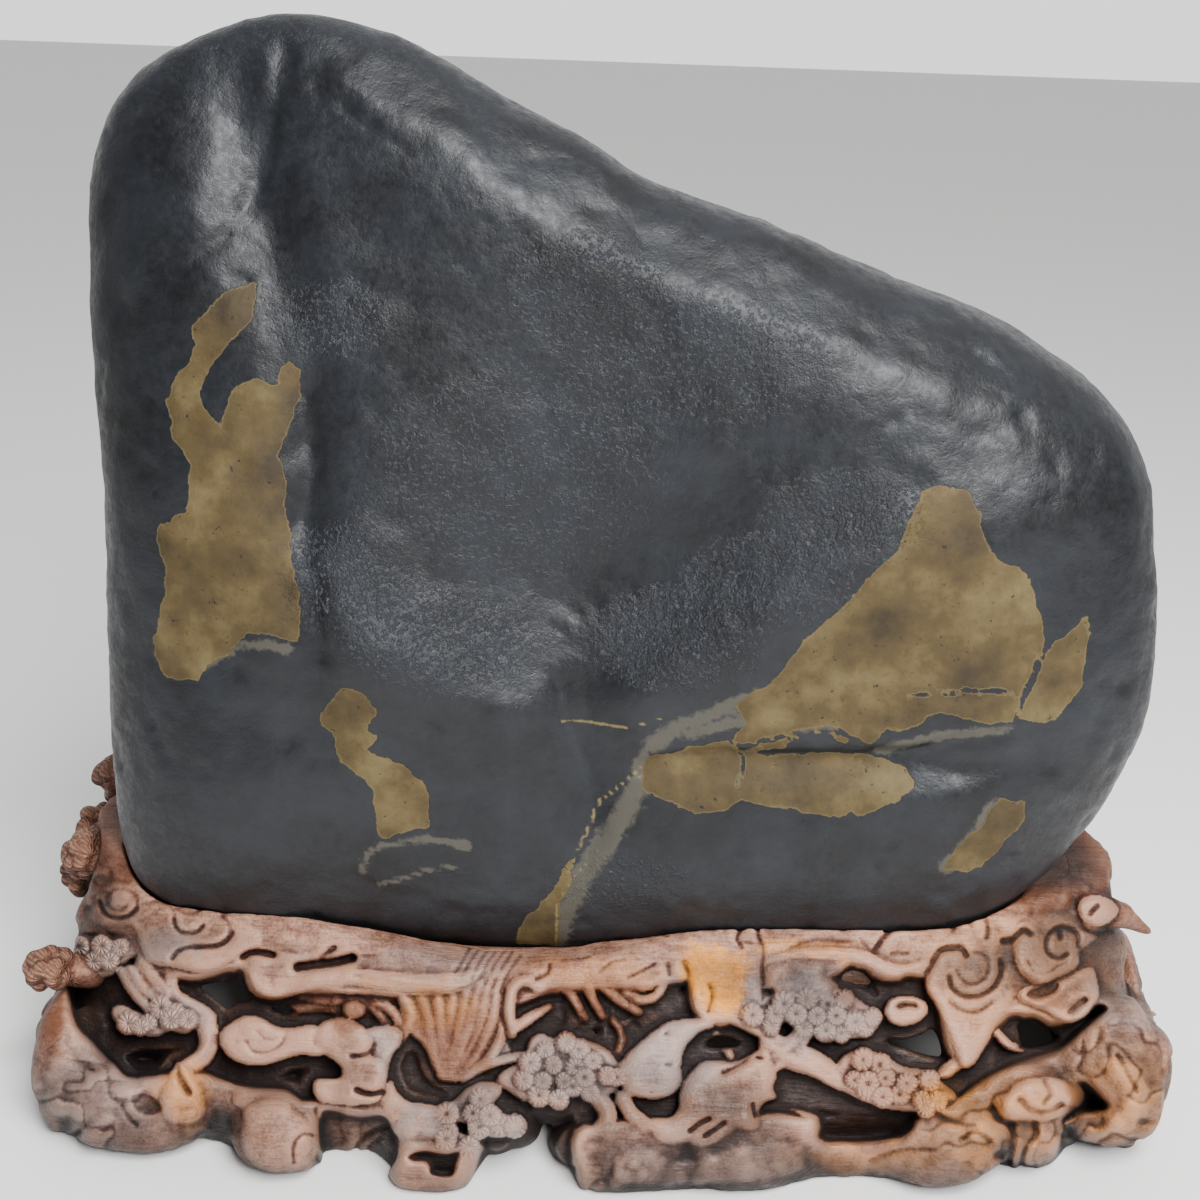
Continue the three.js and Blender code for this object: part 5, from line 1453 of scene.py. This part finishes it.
def spiral(x, z, radius, turns, way):
    shares = np.linspace(0, 1, 14)
    angles = way * 2 * np.pi * turns * shares
    reach = radius * (1 - 0.85 * shares)
    return [(x + r * math.cos(a), z + r * math.sin(a)) for r, a in zip(reach, angles)]


# The back isn't in the photo: the same kinds of carving, in millimetres as seen from behind
backDesign = {
    "recess": [(-9, [(-198, 66), (-120, 60), (-40, 56), (40, 60), (120, 68), (198, 72), (202, 44),
                     (196, 30), (120, 30), (60, 26), (-20, 26), (-120, 30), (-196, 30), (-202, 46)])],
    "roots": [
        [(-150, 66, 6, 0), (-132, 52, 6, 1), (-112, 43, 6, 1), (-100, 24, 7, 0)],
        [(-60, 62, 7, 0), (-66, 46, 7, 1), (-86, 36, 6, 1), (-104, 26, 7, 0)],
        [(20, 66, 7, 0), (10, 48, 6, 1), (14, 34, 7, 0), (4, 20, 8, 0)],
        [(14, 44, 5, 0), (40, 50, 5, 1), (62, 46, 5, 1), (84, 50, 5, 0), (100, 66, 6, 0)],
        [(176, 70, 6, 0), (168, 52, 6, 0), (172, 36, 7, 0), (180, 22, 8, 0)],
        [(-20, 60, 3, -1), (-10, 48, 3, -2), (2, 40, 3, -1)],
        [(70, 64, 3, -1), (76, 52, 3, -2), (72, 38, 3, -3)],
    ],
    "plates": [
        (3.5, 0.05, 3.2, [(-178, 80), (-166, 86), (-152, 82), (-140, 84), (-128, 78), (-130, 68),
                          (-144, 60), (-158, 64), (-172, 66)]),
        (3.5, 0.05, 3.2, [(112, 76), (124, 84), (138, 82), (150, 86), (162, 82), (166, 72), (154, 62),
                          (140, 56), (126, 60), (114, 66)]),
        (3, 0, 3, [(-20, 66), (-4, 68), (10, 66), (24, 70), (36, 64), (30, 56), (12, 55), (-6, 57)]),
        (2.5, 0, 8, oval(-150, 18, 26, 15)), (2.5, 0, 8, oval(-60, 15, 30, 13)),
        (2.5, 0, 8, oval(90, 16, 30, 14)), (2.5, 0, 8, oval(165, 20, 22, 16)),
    ],
    "sprays": [(3.5, oval(-126, 47, 20, 9, -20)), (3.5, oval(-76, 39, 16, 9, 10)),
               (3.5, oval(44, 50, 24, 10)), (3.5, oval(100, 44, 16, 8, 12))],
    "hollows": [(-4, oval(-112, 14, 7, 5)), (-4, oval(40, 22, 8, 5)), (-4, oval(128, 22, 6, 5))],
    "holes": [oval(-158, 42, 13, 9), oval(-36, 40, 14, 9), oval(40, 34, 16, 6), oval(130, 44, 13, 9),
              oval(-34, -4, 15, 16)],
    "grooves": [(0.9, 2.2, spiral(-162, 74, 9, 1.5, 1)), (0.9, 2.2, spiral(-142, 73, 9, 1.5, -1)),
                (0.9, 2.2, spiral(132, 73, 10, 1.5, 1)), (0.9, 2.2, spiral(152, 73, 9, 1.5, -1)),
                (0.9, 1.8, spiral(4, 61, 6, 1.3, 1)), (0.9, 1.8, spiral(22, 62, 6, 1.3, -1))],
    "rocks": [(9, 1.6, (-150, 18), (70, 24)), (9, 1.6, (150, 18), (70, 24)),
              (9, 1.2, (0, 16), (110, 20))],
    "stains": {"gold": [], "brown": [(-36, 50, 60, 16, 0.6), (100, 55, 50, 14, 0.5)],
               "ochre": [(-150, 22, 60, 26, 0.6), (110, 20, 60, 20, 0.5)],
               "grey": [(-126, 47, 28, 16, 0.6), (44, 50, 34, 16, 0.6), (20, 18, 90, 18, 0.4)]},
}
# How the two walls are cut from the apron, in millimetres
carving = {
    "frontSheet": ((0, 850), (1200, 1230), 1.5, photoScale),  # corners, cell and unit of a sheet
    "backSheet": ((-222, -6), (222, 112), 0.8, 1.0),
    "frontStep": 0.8,
    "backStep": 1.7,
    "front": (-106, 1.5),  # the front wall's y, and the back one's
    "back": (-1.5, 106),
    "halfLength": 218,
    "under": -2,  # the walls are worked from below the floor up, and cut off level with it
    "top": 112,
    "footHeights": (36, 8),  # the foot grows out to its line on the floor between these
    "footMargin": 11,  # the line is evened out over this many millimetres
    "rockBlend": 6,
    "rimRound": 3,
    "seatGap": 0.6,
    "footRound": 9,
    "endThick": 14,  # the ends are this much thicker than the long walls
    "endFrom": (0.86, 0.95),  # shares of the half length
    "sideFrom": 0.965,
    "sideTo": 0.99,
    "sideNoise": ((10, 1.0, 48), (5, 0.5, 49)),  # size, share, seed
    "sideLines": (2.2, 0.14),  # depth and width
    "skinNoise": ((11, 0.35, 46), (4.5, 0.2, 47)),
    "seam": (1, 14),  # the random parts of the two walls fade out between these distances from y = 0
    "splits": (-112, 0, 114),  # where the front is divided
    "fin": [((182, -34, 86), 7), ((196, -28, 80), 5), ((209, -24, 71), 1.5)],
}


def layered(block, noises):
    # noises of several sizes over a block, added up
    return sum(share * blockNoise(block, size, seed) for size, share, seed in noises)


def sideRelief(y, z):
    # the ends of the stand, out of the photo's sight: plain wavy carving
    return (-2 + 1.5 * np.sin(y / 8 + 2 * np.sin(z / 11)) + 1.2 * np.sin(z / 7 + y / 13)
            - 6 * smooth(8, 0, np.abs(z - 52 - 5 * np.sin(y / 15)) - 4) * smooth(48, 34, np.abs(y)))


def carveWall(sheet, side, step, seen):
    # the wood between the apron's surface and the hollow inside, with a sheet's carving on it
    near, far = carving["front" if side < 0 else "back"]
    length = carving["halfLength"]
    block = newBlock((-length, near, carving["under"]), (length, far, carving["top"]), step)
    slices, (x, y, z) = whole(block)
    half = apronHalf(z)
    shell = ovalDistance(x, y, half, apron["squareness"]).astype(np.float32)
    block["field"] = shell.copy()
    if side < 0:
        line = onFloor(apron["floorLine"])
        even = np.arange(-225.0, 226.0)
        evened = np.full(carving["footMargin"], 1 / carving["footMargin"])
        reach = np.convolve(np.interp(even, line[:, 0], -line[:, 1]), evened, "same")
        foot = np.interp(x, even, reach) - apronDepth(x, 0)
        foot = foot * smooth(1, 0.93, np.abs(x) / apron["plinthHalf"][0])
        block["field"] -= (foot * smooth(*carving["footHeights"], z)).astype(np.float32)
    for rock in apron["rocks"]:
        if rock[1] * side > -10:  # on this side, or at an end
            ball(block, rock[:3], rock[3:], carving["rockBlend"])
    sheetHeight = readSheet(sheet, "height", *seen(x, y, z))
    share = smooth(carving["sideTo"], carving["sideFrom"], np.abs(x) / half[0]).astype(np.float32)
    seam = smooth(*carving["seam"], np.abs(y)).astype(np.float32)
    bends = layered(block, carving["sideNoise"])
    depth, width = carving["sideLines"]
    bends = seam * (bends - depth * np.exp(-((bends / width) ** 2)))
    ends = sideRelief(y, z).astype(np.float32) + bends
    field = block["field"] - mix(ends, sheetHeight, share)
    field += 3 * np.maximum(0, 1 - z / carving["footRound"]) ** 2
    wall = np.interp(z, apron["wallHeights"], apron["wallThick"])
    wall = wall + carving["endThick"] * smooth(*carving["endFrom"], np.abs(x) / half[0])
    field = np.maximum(field, -shell - wall)
    block["field"] = -blendMin(-field, rimHeight(x) - z, carving["rimRound"]).astype(np.float32)
    if side < 0:
        places, radii = zip(*carving["fin"])
        capsules(block, places, radii, 1)
    block["field"] += seam * layered(block, carving["skinNoise"])
    cut(block, slices, stoneDistance(block) - carving["seatGap"])
    cut(block, slices, np.broadcast_to(z, block["field"].shape))
    return block


# The seat: a thick oval dish inside the apron whose rim follows the stone's foot
seat = {
    "step": 2.4,
    "low": (-206, -66, 44),
    "high": (206, 66, 104),
    "floor": 49,
    "round": 4,
    "overRim": 0.5,
    "profile": [(49, 30), (58, 13), (65, 5), (82, 5), (98, 8)],  # height, how far inside
    "lift": 8,  # its sides follow the apron this much higher up
    "noise": ((12, 0.6, 41), (5, 0.25, 42)),  # size, share, seed
}


def makeSeat():
    block = newBlock(seat["low"], seat["high"], seat["step"])
    slices, (x, y, z) = whole(block)
    inside = np.interp(z, *zip(*seat["profile"]))
    half = [h - inside for h in apronHalf(np.minimum(z + seat["lift"], apron["rimLevel"]))]
    side = ovalDistance(x, y, half, apron["squareness"])
    top = z - rimHeight(x) + seat["overRim"]
    body = -blendMin(-side, -top, seat["round"])
    body = np.maximum(body, seat["floor"] - z)
    join(block, slices, body.astype(np.float32))
    block["field"] += layered(block, seat["noise"])
    cut(block, slices, stoneDistance(block) - carving["seatGap"])
    return block


# Pines that stand behind the ends: pads of small balls, and their stems
pines = {
    "step": 1.0,
    "count": 34,  # balls of one pad
    "radius": 3.4,
    "shell": 0.75,  # how far out they sit, as a share of the pad's half size
    "core": 0.7,
    "seed": 130,
    "bark": (7, 0.8, 61),  # size, share, seed
    "needles": (5.5, 4.0),  # needles come in between these distances from a ball's middle
    # painted light and shade on each tuft: darker below and behind, lighter on top and in front
    "tuftLight": (0.22, 0.54),  # below and behind, and on top and in front
    "tuftLightFrom": (1.5, 4.0),
    "brown": 0.5,
    "pads": [  # x, y, z and the half sizes
        (-204, 18, 77, 10, 14, 9), (-198, 32, 92, 12, 13, 10), (-190, 44, 105, 13, 9, 8),
        (178, 42, 96, 13, 10, 9), (191, 33, 97, 9, 9, 7), (-205, -50, 54, 10, 10, 7),
        (-207, 2, 66, 8, 13, 10), (-200, -12, 82, 9, 12, 9),
    ],
    "stems": [  # x, y, z and the radius
        [(-190, 22, 62, 7), (-190, 36, 84, 6), (-186, 44, 102, 4)],
        [(172, 44, 72, 8), (178, 42, 92, 6), (186, 36, 100, 4)],
        [(-192, -46, 50, 6), (-204, -50, 54, 5)],
    ],
}


def makePad(pad, seed):
    middle, half = np.array(pad[:3], float), np.array(pad[3:], float)
    block = newBlock(middle - half - 3, middle + half + 3, pines["step"])
    rng = np.random.default_rng(seed)
    block["tufts"] = []
    for _ in range(pines["count"]):
        way = rng.normal(size=3)
        way /= np.linalg.norm(way)
        block["tufts"].append(middle + way * half * pines["shell"])
        ball(block, block["tufts"][-1], np.full(3, pines["radius"]), 0.4)
    ball(block, middle, half * pines["core"], 1.0)
    return block


def makeStem(line):
    line = openCurve(line, 4)
    radius = line[:, 3].max() + 2
    block = newBlock(line[:, :3].min(0) - radius, line[:, :3].max(0) + radius, pines["step"])
    capsules(block, line[:, :3], line[:, 3], 1.5)
    block["field"] += layered(block, [pines["bark"]])
    return block


# Painted shade and stain: the wood is coloured darker where a place is closed in by wood
closeness = {
    "step": 2.5,
    "space": ((-232, 232), (-120, 120), (-8, 130)),  # the x, y and z that are looked at
    "blur": 3,
    "ahead": 6,  # how far in front of a place the filling is read
    "from": 0.40,
    "over": 0.45,
    "sunkShade": 0.9,
}


def openness(blocks):
    # how filled the space is over the whole stand, on a coarse grid: wood is 1
    axes = [np.arange(a, b, closeness["step"]) for a, b in closeness["space"]]
    filled = np.zeros([len(axis) for axis in axes], np.float32)
    for block in blocks:
        index, fits = [], []
        for axis, own in zip(axes, block["axes"]):
            place = np.round((axis - own[0]) / block["step"]).astype(int)
            fits.append((place >= 0) & (place < len(own)))
            index.append(np.clip(place, 0, len(own) - 1))
        solid = block["field"][np.ix_(*index)] < 0
        solid &= fits[0][:, None, None] & fits[1][None, :, None] & fits[2][None, None, :]
        filled = np.maximum(filled, solid)
    filled[:, :, axes[2] < 0] = 1  # the floor
    return axes, blurred(filled, closeness["blur"])


def readGrid(axes, values, points):
    at = [(points[:, k] - axes[k][0]) / closeness["step"] for k in range(3)]
    cell = [np.clip(v.astype(int), 0, len(axes[k]) - 2) for k, v in enumerate(at)]
    share = [np.clip(v - c, 0, 1) for v, c in zip(at, cell)]
    total = np.zeros(len(points))
    for corner in range(8):
        i, j, k = corner & 1, corner >> 1 & 1, corner >> 2 & 1
        weight = ((share[0] if i else 1 - share[0]) * (share[1] if j else 1 - share[1])
                  * (share[2] if k else 1 - share[2]))
        total += weight * values[cell[0] + i, cell[1] + j, cell[2] + k]
    return total


def plainValues(surface, filling):
    # what the wood's material reads at each point where there is no carving: wear, and painted shade and
    # stain where it is closed in
    points, triangles, quads = surface
    ahead = readGrid(*filling, points + facing(points, triangles, quads) * closeness["ahead"])
    values = {name: np.zeros(len(points)) for name in ("pad", "needleU", "needleV")}
    return {"worn": np.full(len(points), sheetFinish["plainWear"]), **values,
            "cavity": np.clip((ahead - closeness["from"]) / closeness["over"], 0, 1)}


wallStain = {
    "edges": ((5, 9, 71), (2, 3, 72)),  # how far a stain's margin wanders, over what size, seed
    # painted shade: the tall ends behind the stone's foot are coloured dark, which comes in between these
    # places
    "ends": {"x": (165, 190), "y": (-45, -25), "z": (62, 80)},
    "endShare": 0.9,
    "seam": (0, 16),  # stains fade out between these distances from y = 0, where the walls meet
}


def wallValues(surface, filling, sheet, seen, stains):
    # the same for a wall, with its sheet's wear, needles and stains, and painted shade in its hollows and
    # at its ends
    values = plainValues(surface, filling)
    points = surface[0]
    u, v = seen(*points.T)
    share = smooth(carving["sideTo"], carving["sideFrom"],
                   np.abs(points[:, 0]) / apronHalf(points[:, 2])[0])
    for name in ("worn", "pad", "needleU", "needleV"):
        values[name] = mix(values[name], readSheet(sheet, name, u, v), share)
    # painted shade in the sheet's hollows
    sunkShade = closeness["sunkShade"] * share * readSheet(sheet, "sunkShade", u, v)
    values["cavity"] = np.maximum(values["cavity"], sunkShade)
    shift = sum(far * sheet["unit"] * noiseAt(points, size, seed)
                for far, size, seed in wallStain["edges"])
    seam = smooth(*wallStain["seam"], np.abs(points[:, 1]))
    for name, spots in stains.items():
        values[name] = seam * spotted(spots, u + shift, v + shift)
    dark = np.full(len(points), wallStain["endShare"])
    for axis, place in (("x", np.abs(points[:, 0])), ("y", points[:, 1]), ("z", points[:, 2])):
        dark *= smooth(*wallStain["ends"][axis], place)
    # painted shade at the dark ends
    values["brown"] = np.maximum(values["brown"], dark)
    return values


def pineValues(surface, filling, middles):
    # the same for the pines, with needles round the middle of the nearest tuft and painted light and shade
    # on it
    values = plainValues(surface, filling)
    points = surface[0]
    near = np.argmin([((points - tuft) ** 2).sum(1) for tuft in middles], axis=0)
    away = points - np.array(middles)[near]
    values["needleU"], values["needleV"] = away[:, 0] + away[:, 1], away[:, 2]
    values["pad"] = smooth(*pines["needles"], np.linalg.norm(away, axis=1))
    # painted light and shade: each tuft is lighter on top and in front
    low, high = pines["tuftLight"]
    values["worn"] = mix(low, high, smooth(*pines["tuftLightFrom"], away[:, 2] - away[:, 1]))
    values["brown"] = np.full(len(points), pines["brown"])
    return values


def makeStand():
    # side -1 is the front and 1 the back
    sheets = {-1: newSheet(*carving["frontSheet"]), 1: newSheet(*carving["backSheet"])}
    designs = {-1: frontDesign, 1: backDesign}
    views = {-1: photoPixels, 1: lambda x, y, z: (-x, z)}
    steps = {-1: carving["frontStep"], 1: carving["backStep"]}
    for side, sheet in sheets.items():
        carveSheet(sheet, designs[side])
    print("carving drawn")
    walls = {side: carveWall(sheets[side], side, steps[side], views[side]) for side in sheets}
    seatBlock = makeSeat()
    pineBlocks = [makePad(pad, pines["seed"] + i) for i, pad in enumerate(pines["pads"])]
    pineBlocks += [makeStem(line) for line in pines["stems"]]
    print("walls, seat and pines carved")
    filling = openness([*walls.values(), seatBlock, *pineBlocks])
    for side, block in walls.items():
        surface = surfaceOf(block)
        values = wallValues(surface, filling, sheets[side], views[side], designs[side]["stains"])
        if side > 0:
            makeObject("standBack", surface, woodMaterial, "stand", values)
            continue
        edges = [-math.inf, *carving["splits"], math.inf]
        for name, low, high in zip(("FarLeft", "Left", "Right", "FarRight"), edges, edges[1:]):
            piece, own = between(surface, values, low, high)
            makeObject("standFront" + name, piece, woodMaterial, "stand", own)
    surface = surfaceOf(seatBlock)
    makeObject("standSeat", surface, woodMaterial, "stand", plainValues(surface, filling))
    surface = joined([surfaceOf(block) for block in pineBlocks])
    middles = [tuft for block in pineBlocks for tuft in block.get("tufts", [])]
    makeObject("standPines", surface, woodMaterial, "stand",
               pineValues(surface, filling, middles))


makeStand()

# A plain pale floor and soft light from the front and above, in metres and watts
studio = {
    "floor": "#f4f3f2",
    "floorRough": 0.7,
    "floorHalf": 6.0,
    "world": "#ffffff",
    "dimWorld": 0.22,
    "brightWorld": 1.5,
    "brightens": (-0.2, 0.7),  # from front to back, as the y of the way that is looked in
    "aim": (0, 0, 0.2),
    "lights": [  # name, place, size, power
        ("topSoftbox", (0.30, -0.62, 1.15), (0.7, 0.45), 22),
        ("frontSoftbox", (0.45, -1.05, 0.95), (0.6, 0.4), 22),
    ],
}


def makeStudio():
    scene = bpy.context.scene
    world = bpy.data.worlds.new("studioWorld")
    world.use_nodes = True
    background = world.node_tree.nodes["Background"]
    background.inputs["Color"].default_value = hexColour(studio["world"])
    # the room is bright behind the piece and dim in front of it
    way = addNode(world.node_tree, "TexCoord").outputs["Generated"]
    back = addNode(world.node_tree, "SeparateXYZ", links={0: way}).outputs[1]
    low, high = studio["brightens"]
    strength = addNode(world.node_tree, "MapRange",
                       {"From Min": low, "From Max": high, "To Min": studio["dimWorld"],
                        "To Max": studio["brightWorld"]}, {"Value": back}).outputs[0]
    world.node_tree.links.new(strength, background.inputs["Strength"])
    scene.world = world
    material, _, shader = newMaterial("paintedFloor")
    shader.inputs["Base Color"].default_value = hexColour(studio["floor"])
    shader.inputs["Roughness"].default_value = studio["floorRough"]
    mesh = bpy.data.meshes.new("floor")
    half = studio["floorHalf"]
    mesh.from_pydata([(-half, -half, 0), (half, -half, 0), (half, half, 0), (-half, half, 0)], [],
                     [(0, 1, 2, 3)])
    mesh.materials.append(material)
    floor = bpy.data.objects.new("floor", mesh)
    scene.collection.objects.link(floor)
    for name, place, size, power in studio["lights"]:
        lamp = bpy.data.lights.new(name, "AREA")
        lamp.shape = "RECTANGLE"
        lamp.size, lamp.size_y = size
        lamp.energy = power
        holder = bpy.data.objects.new(name, lamp)
        holder.location = place
        aim = Vector(studio["aim"]) - Vector(place)
        holder.rotation_euler = aim.to_track_quat("-Z", "Y").to_euler()
        scene.collection.objects.link(holder)


makeStudio()
print("studio set")
